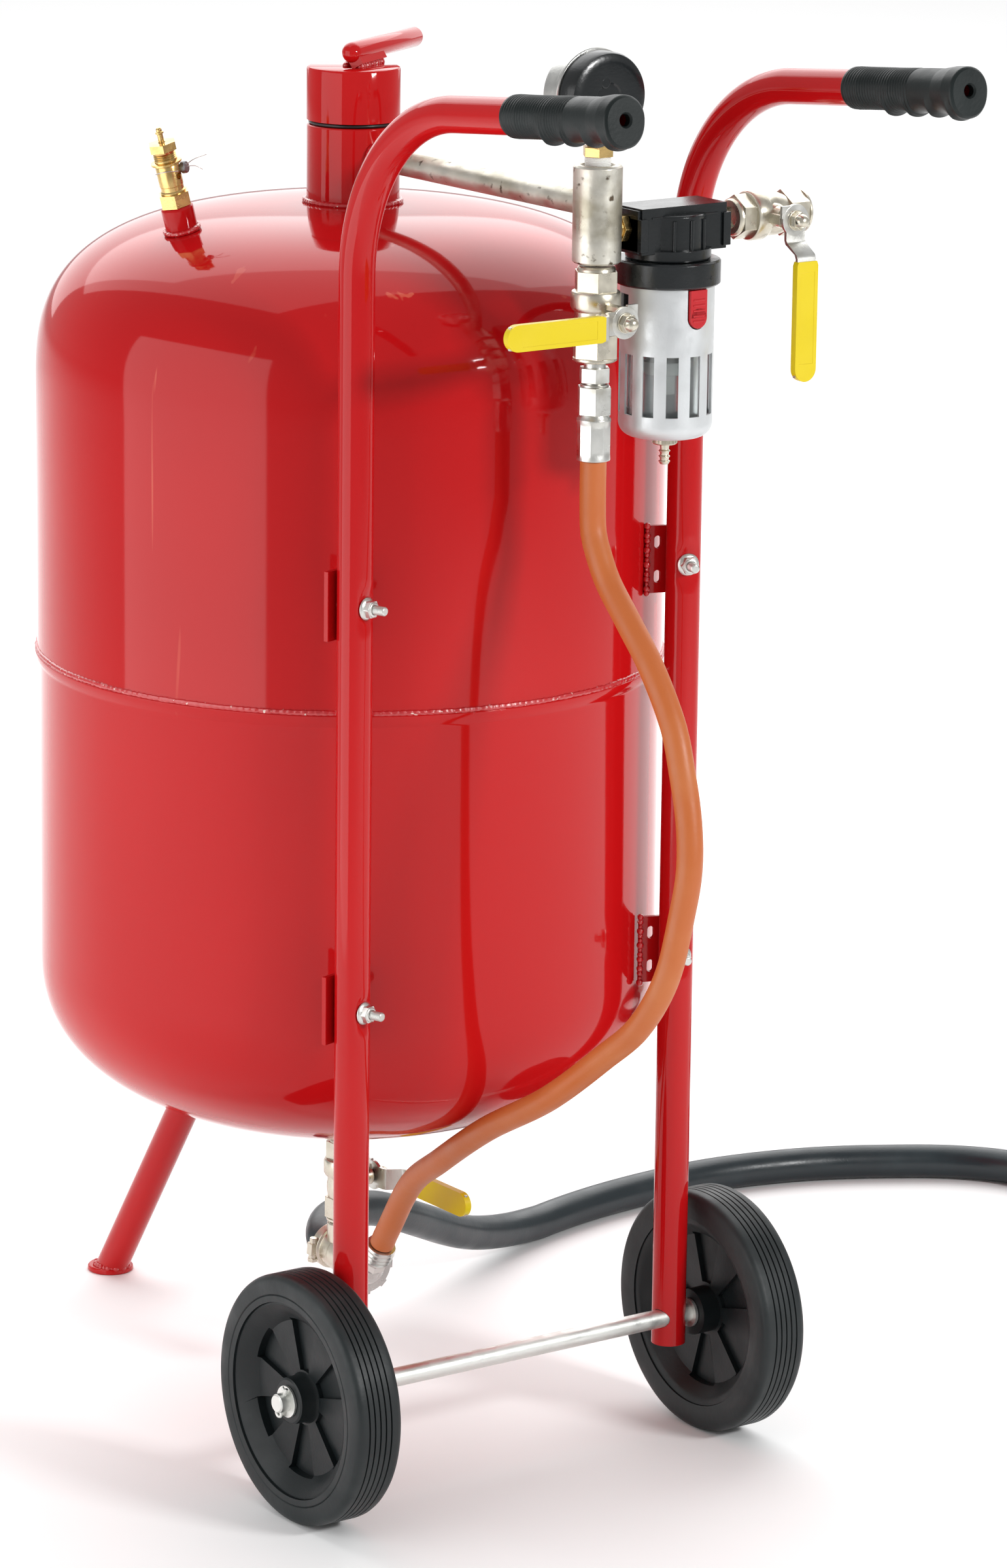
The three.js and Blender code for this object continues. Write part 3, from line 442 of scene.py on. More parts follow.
RED = red_paint()
WELD = weld_paint()
ZINC = plated("zinc_plate", (0.68, 0.68, 0.65), 0.32, (0.36, 0.34, 0.28))
NICKEL = plated("nickel_plate", (0.66, 0.62, 0.52), 0.30, (0.36, 0.31, 0.22), 0.5, 420, 0.00007)
CHROME = plated("chrome_plate", (0.60, 0.60, 0.58), 0.30, (0.42, 0.42, 0.39), 0.3)
BRASS = plated("brass", (0.72, 0.50, 0.20), 0.24, (0.28, 0.17, 0.05), 0.6)
GALVANISED = galvanised()
AXLE_STEEL = plated("axle_steel", (0.80, 0.81, 0.78), 0.42, (0.62, 0.62, 0.57), 0.4)
LEAD = plated("lead_seal", (0.28, 0.29, 0.30), 0.5)
SILVER = plated("silver_enamel", (0.66, 0.68, 0.69), 0.40, (0.52, 0.53, 0.54), 0.3, 700, 0.00008, 0.6)
BLACK_PLASTIC = moulded("black_plastic", (0.007, 0.009, 0.010), 0.24, (0.03, 0.035, 0.04))
HUB_PLASTIC = moulded("hub_plastic", (0.006, 0.009, 0.010), 0.42, (0.03, 0.035, 0.035), 0.3,
                      Specular_IOR_Level=0.35)
GRIP_VINYL = moulded("grip_vinyl", (0.006, 0.010, 0.010), 0.42, (0.022, 0.030, 0.030), 0.35,
                     Specular_IOR_Level=0.3)
TYRE = moulded("tyre_rubber", (0.010, 0.014, 0.015), 0.46, (0.05, 0.06, 0.06), 0.4, 0.00012, 300,
               Specular_IOR_Level=0.4)
SEAL = moulded("seal_rubber", (0.008, 0.008, 0.008), 0.4)
AIR_RUBBER = moulded("air_hose_rubber", (0.50, 0.125, 0.026), 0.44, (0.56, 0.19, 0.06), 0.5, 0.0001)
BLAST_RUBBER = moulded("blast_hose_rubber", (0.009, 0.016, 0.020), 0.34, (0.030, 0.048, 0.056), 0.5)
YELLOW = moulded("yellow_vinyl", (0.74, 0.57, 0.003), 0.36, (0.62, 0.46, 0.008), 0.35, 0.00012, 180)
RED_PLASTIC = moulded("red_plastic", (0.50, 0.010, 0.016), 0.30, (0.35, 0.01, 0.012), 0.4)
CLEAR = clear_plastic("clear_bowl", (0.86, 0.90, 0.90), 0.92, 0.12)
GLASS = clear_plastic("gauge_window", (1.0, 1.0, 1.0), 0.97, 0.03)
DIAL = moulded("dial_face", (0.86, 0.86, 0.83), 0.45, (0.8, 0.8, 0.76), 0.3)
TAPE = moulded("thread_tape", (0.85, 0.85, 0.82), 0.55, (0.7, 0.7, 0.66), 0.4, 0.0003, 260)
CERAMIC = moulded("ceramic", (0.72, 0.69, 0.60), 0.6, (0.6, 0.56, 0.47), 0.5)


# ---------------------------------------------------------------- camera, light and floor
def make_camera():
    """The camera solved from the photograph: where it stands and how it is turned."""
    data = bpy.data.cameras.new("camera")
    data.sensor_fit = "HORIZONTAL"
    data.sensor_width = 36
    data.lens = 221.05
    data.clip_end = 60
    camera = bpy.data.objects.new("camera", data)
    right, up, back = (Vector(v) for v in ((0.8143, -0.5803, 0.0120), (0.1293, 0.2015, 0.9709),
                                           (-0.5659, -0.7890, 0.2391)))
    camera.matrix_world = basis(right, up, back, TO_ROW @ Vector((-2173.0, -3013.0, 1362.2)))
    bpy.context.scene.collection.objects.link(camera)
    bpy.context.scene.camera = camera


def facing(origin, back):
    """A frame at origin whose Z is back, with its X level."""
    z = back.normalized()
    across = UP if abs(z.z) < 0.99 else Vector((0, 1, 0))
    x = across.cross(z).normalized()
    return basis(x, z.cross(x), z, origin)


def softbox(name, position, target, size, power):
    """A white rectangular light that the camera doesn't see. Sizes are in metres."""
    data = bpy.data.lights.new(name, "AREA")
    data.shape = "RECTANGLE"
    data.size, data.size_y = size
    data.energy = power
    lamp = bpy.data.objects.new(name, data)
    lamp.matrix_world = facing(Vector(position), Vector(position) - Vector(target))
    lamp.visible_camera = False
    bpy.context.scene.collection.objects.link(lamp)


def make_studio():
    """A pale paper floor, a white world and four soft lights."""
    floor_mesh = bpy.data.meshes.new("floor")
    half = 30
    floor_mesh.from_pydata([(-half, -half, 0), (half, -half, 0), (half, half, 0), (-half, half, 0)], [],
                           [(0, 1, 2, 3)])
    floor = bpy.data.objects.new("floor", floor_mesh)
    bpy.context.scene.collection.objects.link(floor)
    look = Look("floor_paper", (0.93, 0.93, 0.93), 0.9, 0.0, Specular_IOR_Level=0.1)
    floor_mesh.materials.append(look.material)
    world = bpy.data.worlds.new("studio")
    world.use_nodes = True
    background = world.node_tree.nodes["Background"]
    background.inputs["Color"].default_value = (1.0, 1.0, 1.0, 1.0)
    background.inputs["Strength"].default_value = 0.45
    bpy.context.scene.world = world
    bpy.context.scene.view_settings.view_transform = "Standard"
    softbox("panel_left", (-1.40, 0.10, 0.68), (0, 0.10, 0.68), (1.5, 1.35), 12)
    softbox("window_right", (0.86, -2.70, 1.68), (0, 0.19, 0.6), (0.6, 0.32), 46)
    softbox("backdrop", (1.55, 2.30, 2.6), (0, 0.19, 1.5), (5.0, 4.0), 78)
    softbox("backdrop_top", (2.9, 4.2, 3.6), (2.9, 4.2, 0), (8.5, 8.5), 270)


make_camera()
make_studio()

# ---------------------------------------------------------------- driving dimensions
TANK_R, TANK_Y, TANK_WALL, SEAM_Z = 200, 187.4, 3, 499.6
LOWER_R = TANK_R - 1.5
TOP_DOME = (671, 115.6, 2.89)
BOTTOM_DOME = (300, 109.4, 2.36)
NECK_R, NECK_BORE, NECK_TOP = 29.3, 23, 835.6
LID_LOW, LID_TOP = 838.4, 872
TUBE_R, TUBE_WALL, TUBE_X, TUBE_LOW, BEND_R = 11, 1.5, 124, 61, 110
HANDLE_Z, HANDLE_RISE, HANDLE_END = 873.5, 0.096, -259
GRIP_START, GRIP_END = -160, -265
AXLE_R, AXLE_Y, AXLE_Z, AXLE_END = 6, -3, 79, 181
WHEEL_X, WHEEL_R, WHEEL_HALF, RIM_R, BOSS_R = 156, 79, 17, 62, 15
POCKET_IN, POCKET_OUT, TYRE_GROOVES, TYRE_ROUND = 17.5, 50.5, (-7.5, -3.5, 0.5, 4.5, 8.5), 5
TAB_HALF, TAB_THICK, TAB_ZS, TAB_TURN, TAB_SEAT = 21.5, 3, (574, 321), 72, 8.5
BOLT_HOLE_R, BOLT_PITCH, NIPPLE_PITCH = 3.4, 0.9, 1.2
LEG_R, LEG_FOOT_Y, LEG_TOP = 11, 480, (333, 219)
LINE_Y, LINE_Z, PIPE_Z, PIPE_R = -71.5, 802, 817, 7.6
COUPLING_R, COUPLING_LOW, COUPLING_HIGH = 14.8, 782.5, 841.5
GAUGE_Z, GAUGE_BACK, GAUGE_R, BEZEL_R, DIAL_R, CASE_DEPTH, GAUGE_DEPTH = 882.3, -83, 27, 28.5, 24.6, 14.3, 31
DIAL_FACE = 23
SCALE_START, SCALE_SWEEP, SCALE_STEPS = 45, 270, 50
FILTER_X, GUARD_R, COLLAR_R, SLOTS = 53.5, 28.6, 32, 12
COLLAR_LOW, COLLAR_TOP, GUARD_BOTTOM = 766, 781.5, 673
CONTROL_Z, MEDIA_Z = 750.5, 142
AIR_R, BLAST_R = 8, 12
TEE_Z, TEE_TILT = 91, 6

SOCKET_LEAN = rad(15.2)
socket_frame = aim(Vector((-122, TANK_Y + 8, 776)),
                   Vector((-math.sin(SOCKET_LEAN), 0, math.cos(SOCKET_LEAN))))
tee_down = Vector((0, -math.cos(rad(TEE_TILT)), -math.sin(rad(TEE_TILT))))
tee_centre = Vector((0, TANK_Y, TEE_Z))
cap_face = tee_centre + tee_down * 29
air_port = Vector((0, -0.5, 0.866)).normalized()
air_end = cap_face + air_port * 24
hose_start = tee_centre - tee_down * 20.3
hose_entry = tee_centre - tee_down * 26
COIL_X, COIL_Y, COIL_R, COIL_ENTRY = 799, 193, 132, 185
FLOOR_Z = BLAST_R + 0.7
tail_end = Vector((COIL_X + COIL_R, COIL_Y + 92, 31))
nozzle_slope = rad(8.7)
nozzle_axis = Vector((0, math.cos(nozzle_slope), -math.sin(nozzle_slope)))
nozzle_up = Vector((0, math.sin(nozzle_slope), math.cos(nozzle_slope)))

AIR_ROUTE = [
    (0, -71.5, 640), (0, -73, 618), (-1, -80, 606), (-1, -89, 592), (-2, -111, 572),
    (-3, -137, 548), (-4, -162, 515), (-5, -172, 491), (-6, -181, 462), (-8, -185, 434),
    (-10, -181, 405), (-14, -172, 364), (-18, -151, 330), (-21, -120, 304), (-22, -66, 265),
    (-20, 3, 227), (-15, 61, 190), (-8, 101, 164),
]
BLAST_ROUTE = [
    (8, 226, 95), (22, 241, 96), (47, 256, 94), (75, 267, 88), (104, 279, 76), (137, 296, 60),
    (168, 312, 45), (204, 332, 30), (248, 354, 18), (290, 370, FLOOR_Z), (345, 384, FLOOR_Z),
    (400, 391, FLOOR_Z), (450, 392, FLOOR_Z), (495, 385, FLOOR_Z), (540, 371, FLOOR_Z),
    (585, 348, FLOOR_Z), (627, 319, FLOOR_Z), (652, 288, FLOOR_Z), (664, 250, FLOOR_Z), (668, 215, FLOOR_Z),
]


# ---------------------------------------------------------------- hoses
def coil_point(angle, z):
    """A point on the coil's circle, at an angle in degrees."""
    return Vector((COIL_X + COIL_R * math.cos(rad(angle)), COIL_Y + COIL_R * math.sin(rad(angle)), z))


def air_hose():
    """The orange hose from the control valve down to the union nut, along the photographed route."""
    last = air_end + air_port * 0.3
    middle = [Vector(p) for p in AIR_ROUTE]
    curve = smooth_route([Vector((0, LINE_Y, 655)), *middle, last + air_port * 8], 6)
    route = [Vector((0, LINE_Y, 662.7)), *curve, last]
    made = fixed("air_hose_line", swept(route, AIR_R, 32), AIR_RUBBER, "air_hose_rubber", "air_hose", 0.6)


def blast_hose():
    """The blast hose: out along the floor, round a flat coil and up to the nozzle valve."""
    points = [hose_entry, *(Vector(p) for p in BLAST_ROUTE), coil_point(COIL_ENTRY, FLOOR_Z)]
    run = smooth_route(points, 8)
    turns = []
    top_z = FLOOR_Z + 2 * BLAST_R
    for angle in range(COIL_ENTRY + 4, 720, 4):
        climb = min(max((angle - 360) / COIL_ENTRY, 0), 1)
        climb = climb * climb * (3 - 2 * climb)
        turns.append(coil_point(angle, FLOOR_Z + (top_z - FLOOR_Z) * climb))
    leaving = coil_point(720, top_z)
    tail = smooth_route([leaving, leaving + Vector((0, 40, -1)), tail_end - nozzle_axis * 14, tail_end], 8)
    route = [hose_start, *run, *turns, *tail]
    for p in route:
        p.z = max(p.z, FLOOR_Z)
    made = fixed("blast_hose_line", swept(route, BLAST_R, 36), BLAST_RUBBER, "blast_hose_rubber",
                 ("blast_hose", "blast_hose_coil"), 0.6)
    path = [TO_ROW @ p for p in route]
    return made, path


# ---------------------------------------------------------------- tank, neck and lid
def dome(dome_numbers, sign, stop_r, steps, radius=TANK_R, inset=0.0):
    """A dome's outline from the tank's wall to stop_r. Its numbers are the foot, the rise and the power."""
    z, rise, power = dome_numbers
    stop = math.acos((stop_r / (radius - inset)) ** (power / 2))
    return [((radius - inset) * math.cos(stop * i / steps) ** (2 / power),
             z + sign * (rise - inset) * math.sin(stop * i / steps) ** (2 / power))
            for i in range(steps + 1)]


def weld_ring(radius, z, width, rise, centre, ripples, segments=720):
    """An uneven weld bead round the Z axis: overlapping scales, each a little different."""
    points, faces = [], []
    sides = 8
    for i in range(segments):
        angle = 2 * math.pi * i / segments
        scale = i * ripples / segments
        uneven = noise.noise(Vector((scale * 0.7, radius, z)))
        swell = 0.84 + 0.17 * abs(math.sin(math.pi * scale)) + 0.25 * uneven
        wander = 0.5 * noise.noise(Vector((scale * 0.11, 7, radius)))
        for k in range(sides):
            turn = 2 * math.pi * k / sides
            r = radius + rise * swell * math.cos(turn)
            height = z + wander + width * swell * math.sin(turn)
            points.append(Vector((r * math.cos(angle), r * math.sin(angle), height)))
    for i in range(segments):
        n = (i + 1) % segments
        for k in range(sides):
            m = (k + 1) % sides
            faces.append((i * sides + k, n * sides + k, n * sides + m, i * sides + m))
    return put((points, faces), shift(centre))


def make_tank():
    """Two deep shells, the seam between them, the filler neck and the valve's socket."""
    axis = shift((0, TANK_Y, 0))
    seam = SEAM_Z + 2
    upper = [(TANK_R, seam), *dome(TOP_DOME, 1, NECK_R + 0.5, 40),
             *reversed(dome(TOP_DOME, 1, NECK_R + 0.5, 24, inset=TANK_WALL)), (TANK_R - TANK_WALL, seam),
             (TANK_R, seam)]
    bore = put(rod(6.5, -20, 18), socket_frame)
    fixed("tank_top_shell", put(turned(upper, 180), axis), RED, "paint", "tank_upper", 0.3, [bore])
    socket = hoop([(6.5, -8), (10, -8), (10, 0), (10.2, 15.5), (9, 17), (6.5, 17)], 48)
    fixed("safety_socket", put(socket, socket_frame), RED, "paint", bevel=0.2)
    weld_bead("safety_socket_weld", put(weld_ring(10.6, 1.6, 1.6, 1.6, (0, 0, 0), 22, 176), socket_frame))

    lip = seam - 0.3
    lower = [*dome(BOTTOM_DOME, -1, 12.5, 40, LOWER_R), *reversed(dome(BOTTOM_DOME, -1, 12.5, 24, LOWER_R,
                                                                       TANK_WALL)),
             (LOWER_R - TANK_WALL, lip), (LOWER_R + 1.4, lip), (LOWER_R + 3, lip - 1.2),
             (LOWER_R + 2.6, SEAM_Z - 3), (LOWER_R + 0.6, SEAM_Z - 6), (LOWER_R, SEAM_Z - 8),
             (LOWER_R, BOTTOM_DOME[0])]
    fixed("tank_bottom_shell", put(turned(lower, 180), axis), RED, "paint", "tank_lower", 0.3)
    weld_bead("tank_seam_weld", weld_ring(TANK_R - 0.1, SEAM_Z + 2.2, 1.9, 1.5, (0, TANK_Y, 0), 290, 1740))

    neck = hoop([(NECK_BORE, 780), (NECK_R, 780), (NECK_R, NECK_TOP - 0.8), (NECK_R - 0.8, NECK_TOP),
                 (NECK_BORE + 1, NECK_TOP), (NECK_BORE, NECK_TOP - 1)], 120)
    fixed("filler_neck_wall", put(neck, axis), RED, "paint", "filler_neck", 0.3)
    weld_bead("filler_neck_weld", weld_ring(NECK_R + 0.6, 787.4, 1.9, 2.3, (0, TANK_Y, 0), 52, 416))
    collar = weld_ring(PIPE_R + 1.6, 0, 2.4, 1.8, (0, 0, 0), 22, 176)
    weld_bead("manifold_pipe_weld", put(collar, aim(Vector((0, TANK_Y - NECK_R - 0.6, PIPE_Z)), (0, -1, 0))))


def make_lid():
    """The screwed lid with its turning bar, and the seal under it."""
    axis = shift((0, TANK_Y, 0))
    plug_low, plug_r, outer = LID_LOW - 24, 22.3, NECK_R + 0.2
    profile = [(0, plug_low), (plug_r - 1, plug_low)]
    for i in range(6):
        z = plug_low + 1 + i * 3
        profile += [(plug_r - 1.1, z), (plug_r, z + 1.1), (plug_r, z + 1.7), (plug_r - 1.1, z + 2.8)]
    profile += [(plug_r - 1.1, LID_LOW - 3), (plug_r - 1.1, LID_LOW), (outer, LID_LOW),
                (outer, LID_TOP - 2), (outer - 0.6, LID_TOP - 0.6), (outer - 2.2, LID_TOP), (0, LID_TOP)]
    along = Vector((math.cos(rad(31)), math.sin(rad(31)), 0))
    start = Vector((-8, -10, LID_TOP + 9.5))
    bar_profile = [(0, -6.5), (2.6, -6.0), (4.8, -4.4), (6.1, -2.2), (6.5, 0), (6.5, 92.5), (5.9, 94.3),
                   (4.6, 95), (0, 95)]
    bar = put(turned(bar_profile, 48), aim(start, along))
    rib = put(block((-4.2, -9.5, -2), (4.2, 0, 34)), aim(start, along, 90))
    body = join(turned(profile, 120), bar, rib)
    piece("lid_cap", put(body, axis), "lid", RED, "paint", "filler_lid", 0.5)
    weld = []
    for side in (-1, 1):
        for k in range(9):
            spot = start + along * (2 + 3.6 * k) + along.cross(UP) * (side * 5.2)
            weld.append(ball(2.6 + 0.5 * math.sin(3.1 * k + side), (spot.x, spot.y, LID_TOP + 0.8), 8, 14))
    weld_bead("lid_bar_weld", put(join(*weld), axis), "lid")
    seal = bead(27.1, 1.22, (NECK_TOP + LID_LOW) / 2, 96, 12)
    piece("lid_rubber_ring", put(seal, axis), "lid_ring", SEAL, "seal_rubber", "lid_seal", 0)


def make_safety_valve():
    """The brass relief valve, the pin that can be pulled, and a lead seal on its wire."""
    where = socket_frame
    base = 17.3
    turned_body = spindle([
        (6.0, base - 9), (6.0, base + 8), (7.9, base + 8), (7.9, base + 9.6), (7.2, base + 10.4),
        (7.2, base + 13), (7.5, base + 13.4), (7.5, base + 25.6), (7.1, base + 26.6), (8.8, base + 27),
        (9.6, base + 27.5), (9.6, base + 28.7), (9, base + 29), (7.2, base + 29.2), (7.2, base + 30.4),
        (6.7, base + 31), (7.2, base + 31.6), (6.7, base + 32.2), (7.2, base + 32.8), (6.7, base + 33.4),
        (7.2, base + 34), (6.7, base + 34.6), (7.0, base + 36),
    ], 64)
    shape = join(turned_body, hexagon(18, base, base + 8.5), hexagon(16, base + 36, base + 41))
    vent = put(rod(2.1, 4, 12), aim(Vector((0, 0, base + 19)), (0.35, -1, 0)))
    pin_way = rod(2.3, base + 20, base + 42)
    fixed("relief_valve_body", put(shape, where), BRASS, "brass", "safety_valve_body", 0.35,
          [put(vent, where), put(pin_way, where)], overlapping=True)
    pin = spindle([(1.8, base + 30), (1.8, base + 46.5), (2.6, base + 46.8), (2.6, base + 47.8),
                   (1.8, base + 48.2), (1.8, base + 49.6), (1.2, base + 50.5)], 32)
    piece("relief_valve_pin", put(pin, where), "relief_pin", BRASS, "brass", "safety_valve_pin", 0.15)
    seal = put(spindle([(3.4, -1.8), (3.8, -1.2), (3.8, 1.2), (3.4, 1.8)], 32),
               aim(Vector((9.4, -4, base + 22)), (0.55, -0.85, 0.1)))
    fixed("relief_valve_seal", put(seal, where), LEAD, "zinc", bevel=0.2)
    wires = []
    for lift, reach in ((2.5, 24), (-1.5, 19)):
        route = [Vector((9, -3.5, base + 22)), Vector((15, -7, base + 23 + lift)),
                 Vector((reach, -9, base + 21 + 2 * lift))]
        wires.append(swept(smooth_route(route, 2), 0.3, 8))
    loop = [Vector((8.2 * math.cos(rad(a)), 8.2 * math.sin(rad(a)), base + 23 + 1.2 * math.sin(rad(2 * a))))
            for a in range(-30, 300, 15)]
    wires.append(swept(loop, 0.35, 8))
    fixed("relief_valve_wire", put(join(*wires), where), ZINC, "zinc", bevel=0)


# ---------------------------------------------------------------- frame
def tube_stations(x):
    """The frame tube's middle line: up, round the bend and out along the handle."""
    sweep = math.pi / 2 - math.atan(HANDLE_RISE)
    bend_z = HANDLE_Z - BEND_R * math.tan(sweep / 2)
    stations = [Vector((x, 0, TUBE_LOW + (bend_z - TUBE_LOW) * i / 150)) for i in range(151)]
    for i in range(1, 33):
        angle = sweep * i / 32
        stations.append(Vector((x, -BEND_R * (1 - math.cos(angle)), bend_z + BEND_R * math.sin(angle))))
    first, last = stations[-1], Vector((x, HANDLE_END, HANDLE_Z - HANDLE_RISE * HANDLE_END))
    stations += [first.lerp(last, i / 6) for i in range(1, 7)]
    return stations


def bolt_axis(side):
    """The way a bracket's bolt points, from the bracket out through the tube."""
    return Vector((-side * math.cos(rad(TAB_TURN)), -math.sin(rad(TAB_TURN)), 0))


def make_frame():
    """The two bent tubes, dented under the bolts' nuts and drilled, with their grips."""
    for side, label in ((-1, "left"), (1, "right")):
        x = side * TUBE_X
        points, faces = swept(tube_stations(x), TUBE_R, 48, TUBE_R - TUBE_WALL)
        axis = bolt_axis(side)
        for p in points:
            for z in TAB_ZS:
                out = Vector((p.x - x, p.y, 0))
                near = max(0.0, 1 - ((p.z - z) / 11) ** 2)
                if near and abs(p.z - z) < 30 and out.dot(axis) > 2:
                    p -= axis * max(0, out.dot(axis) - 8.0) * near ** 0.7
        cutters = [put(rod(AXLE_R + 0.3, -30, 30), aim(Vector((x, AXLE_Y, AXLE_Z)), (1, 0, 0)))]
        cutters += [put(rod(BOLT_HOLE_R, -30, 30, 24), aim(Vector((x, 0, z)), axis)) for z in TAB_ZS]
        fixed(f"frame_rail_{label}", (points, faces), RED, "paint", f"frame_tube_{label}", 0.3, cutters)
        make_grip(side, label)


def make_grip(side, label):
    """A vinyl grip: fine ribs, finger grooves below, a flared end with an air hole."""
    direction = Vector((0, -1, HANDLE_RISE)).normalized()
    start = Vector((side * TUBE_X, GRIP_START, HANDLE_Z - HANDLE_RISE * GRIP_START))
    length = (GRIP_START - GRIP_END) * math.hypot(1, HANDLE_RISE)
    steps, sides = 260, 72
    where = aim(start, direction)
    down = (where.to_3x3().inverted() @ Vector((0, 0, -1))).normalized()
    points = []
    for i in range(steps + 1):
        z = length * i / steps
        r = 12.7 - 0.25 * math.sin(math.pi * min(z / 70, 1))
        if 3 < z < 62:
            r += 0.28 * math.cos(2 * math.pi * z / 2.4) - 0.1
        if z > length - 22:
            r += 1.5 * min(1, (z - length + 22) / 12)
        if z > length - 2:
            r -= 1.6 * (1 - math.cos(math.pi / 2 * (z - length + 2) / 2))
        if z < 1.5:
            r -= 0.9 * (1 - z / 1.5) ** 2
        for k in range(sides):
            angle = 2 * math.pi * k / sides
            below = math.cos(angle) * down.x + math.sin(angle) * down.y
            swell = 0.0
            if below > 0.1:
                swell = finger_grooves(z) * min(1, (below - 0.1) / 0.8) ** 1.5
            points.append(Vector(((r + swell) * math.cos(angle), (r + swell) * math.sin(angle), z)))
    bore = rod(TUBE_R + 0.3, -2, length - 5)
    air_hole = spindle([(3.6, length - 12), (3.6, length - 1.2), (5, length + 0.5)], 40)
    fixed(f"handle_grip_{label}", put(capped(points, sides), where), GRIP_VINYL, "grip", f"grip_{label}",
          0.25, [put(bore, where), put(air_hole, where)])
    rim = hoop([(9.6, length - 0.9), (10.6, length - 0.9), (10.6, length - 0.1), (9.6, length - 0.1)], 64)
    line = block((-12.2, -0.25, length - 0.9), (-5.4, 0.25, length - 0.05))
    fixed(f"handle_grip_moulding_{label}", put(join(rim, line), where), GRIP_VINYL, "grip", bevel=0)


def finger_grooves(z):
    """The height of the grip's underside: hollows a finger wide that meet in ridges."""
    first, pitch, ridge = 38, 20, 3.4
    if z < first - 9:
        return 0.0
    if z < first:
        return ridge * ((z - first + 9) / 9) ** 2
    if z > first + 3.2 * pitch:
        return 0.6 * ridge
    from_middle = abs((z - first) % pitch / pitch - 0.5) * 2
    return ridge * (0.12 + 0.88 * from_middle ** 2.2)


def make_tabs():
    """The four brackets between the frame tubes and the tank, each with its weld and bolt."""
    for side, label in ((-1, "left"), (1, "right")):
        axis = bolt_axis(side)
        across = Vector((-side * math.sin(rad(TAB_TURN)), math.cos(rad(TAB_TURN)), 0))
        other = across.cross(axis) * -1
        face = -TUBE_R - 0.3
        for height, z in zip(("upper", "lower"), TAB_ZS):
            where = basis(across, other, axis, Vector((side * TUBE_X, 0, z)))
            reach = tab_reach(side, across)
            blank = block((-12, -TAB_HALF, face - TAB_THICK), (reach, TAB_HALF, face))
            slots = [put(rounded_slot(13.2, at, 4.4, 8), shift((0, 0, face - 9))) for at in (-11, 11)]
            cutters = [put(s, where) for s in (*slots, rod(BOLT_HOLE_R, face - 9, face + 9, 24))]
            fixed(f"tank_bracket_{label}_{height}", put(blank, where), RED, "paint",
                  f"tab_{label}_{height}", 0.6, cutters)
            bead_line = []
            for k in range(15):
                at = -TAB_HALF + 2 * TAB_HALF * k / 14
                size = 1.9 + 0.5 * math.sin(2.3 * k + z)
                bead_line.append(ball(size, (reach - 0.6, at, face + 0.2), 8, 12))
            weld_bead(f"tank_bracket_weld_{label}_{height}", put(join(*bead_line), where))
            make_bolt(where, face, f"{label}_{height}")


def tab_reach(side, across):
    """How far a bracket runs along across before it meets the tank's wall."""
    start = Vector((side * TUBE_X, 0, 0)) + bolt_axis(side) * (-TUBE_R - 1.8)
    reach = 0.0
    while reach < 60:
        p = start + across * reach
        if math.hypot(p.x, p.y - TANK_Y) < TANK_R + 0.6:
            break
        reach += 0.25
    return reach


def rounded_slot(x, y, width, height):
    """A cutter for an upright slot with round ends."""
    outline = []
    straight = (height - width) / 2
    for k in range(24):
        angle = 2 * math.pi * k / 24
        lift = straight if math.sin(angle) >= 0 else -straight
        outline.append((x + width / 2 * math.cos(angle), y + lift + width / 2 * math.sin(angle)))
    return plate(outline, 0, 20)


def make_bolt(where, face, name):
    """A bracket's bolt: head behind the bracket, thread, flanged nut and its crimped collar."""
    back = face - TAB_THICK - 0.3
    seat = TAB_SEAT
    head = spindle([(5.5, back), (5.5, back - 0.6), (4.6, back - 1.4), (2.6, back - 1.8)], 48)
    thread = [(0, back), (2.5, back)]
    z = back
    while z < seat + 14.2:
        thread += [(3.0, z + BOLT_PITCH / 2), (2.55, z + BOLT_PITCH)]
        z += BOLT_PITCH
    thread += [(2.2, seat + 15), (0, seat + 15)]
    nut = join(hoop([(3.1, seat + 0.3), (7.0, seat + 0.3), (7.2, seat + 0.9), (6.6, seat + 1.7),
                     (5, seat + 2.6), (3.1, seat + 2.6)], 56), hexagon(10, seat + 1.4, seat + 5.9),
               hoop([(3.1, seat + 5), (4.9, seat + 5), (4.6, seat + 6.4), (3.9, seat + 6.8),
                     (3.1, seat + 6.8)], 48))
    fixed(f"bracket_bolt_{name}", put(join(head, turned(thread, 32), nut), where), ZINC, "zinc",
          f"frame_bolt_{name}", 0.25)


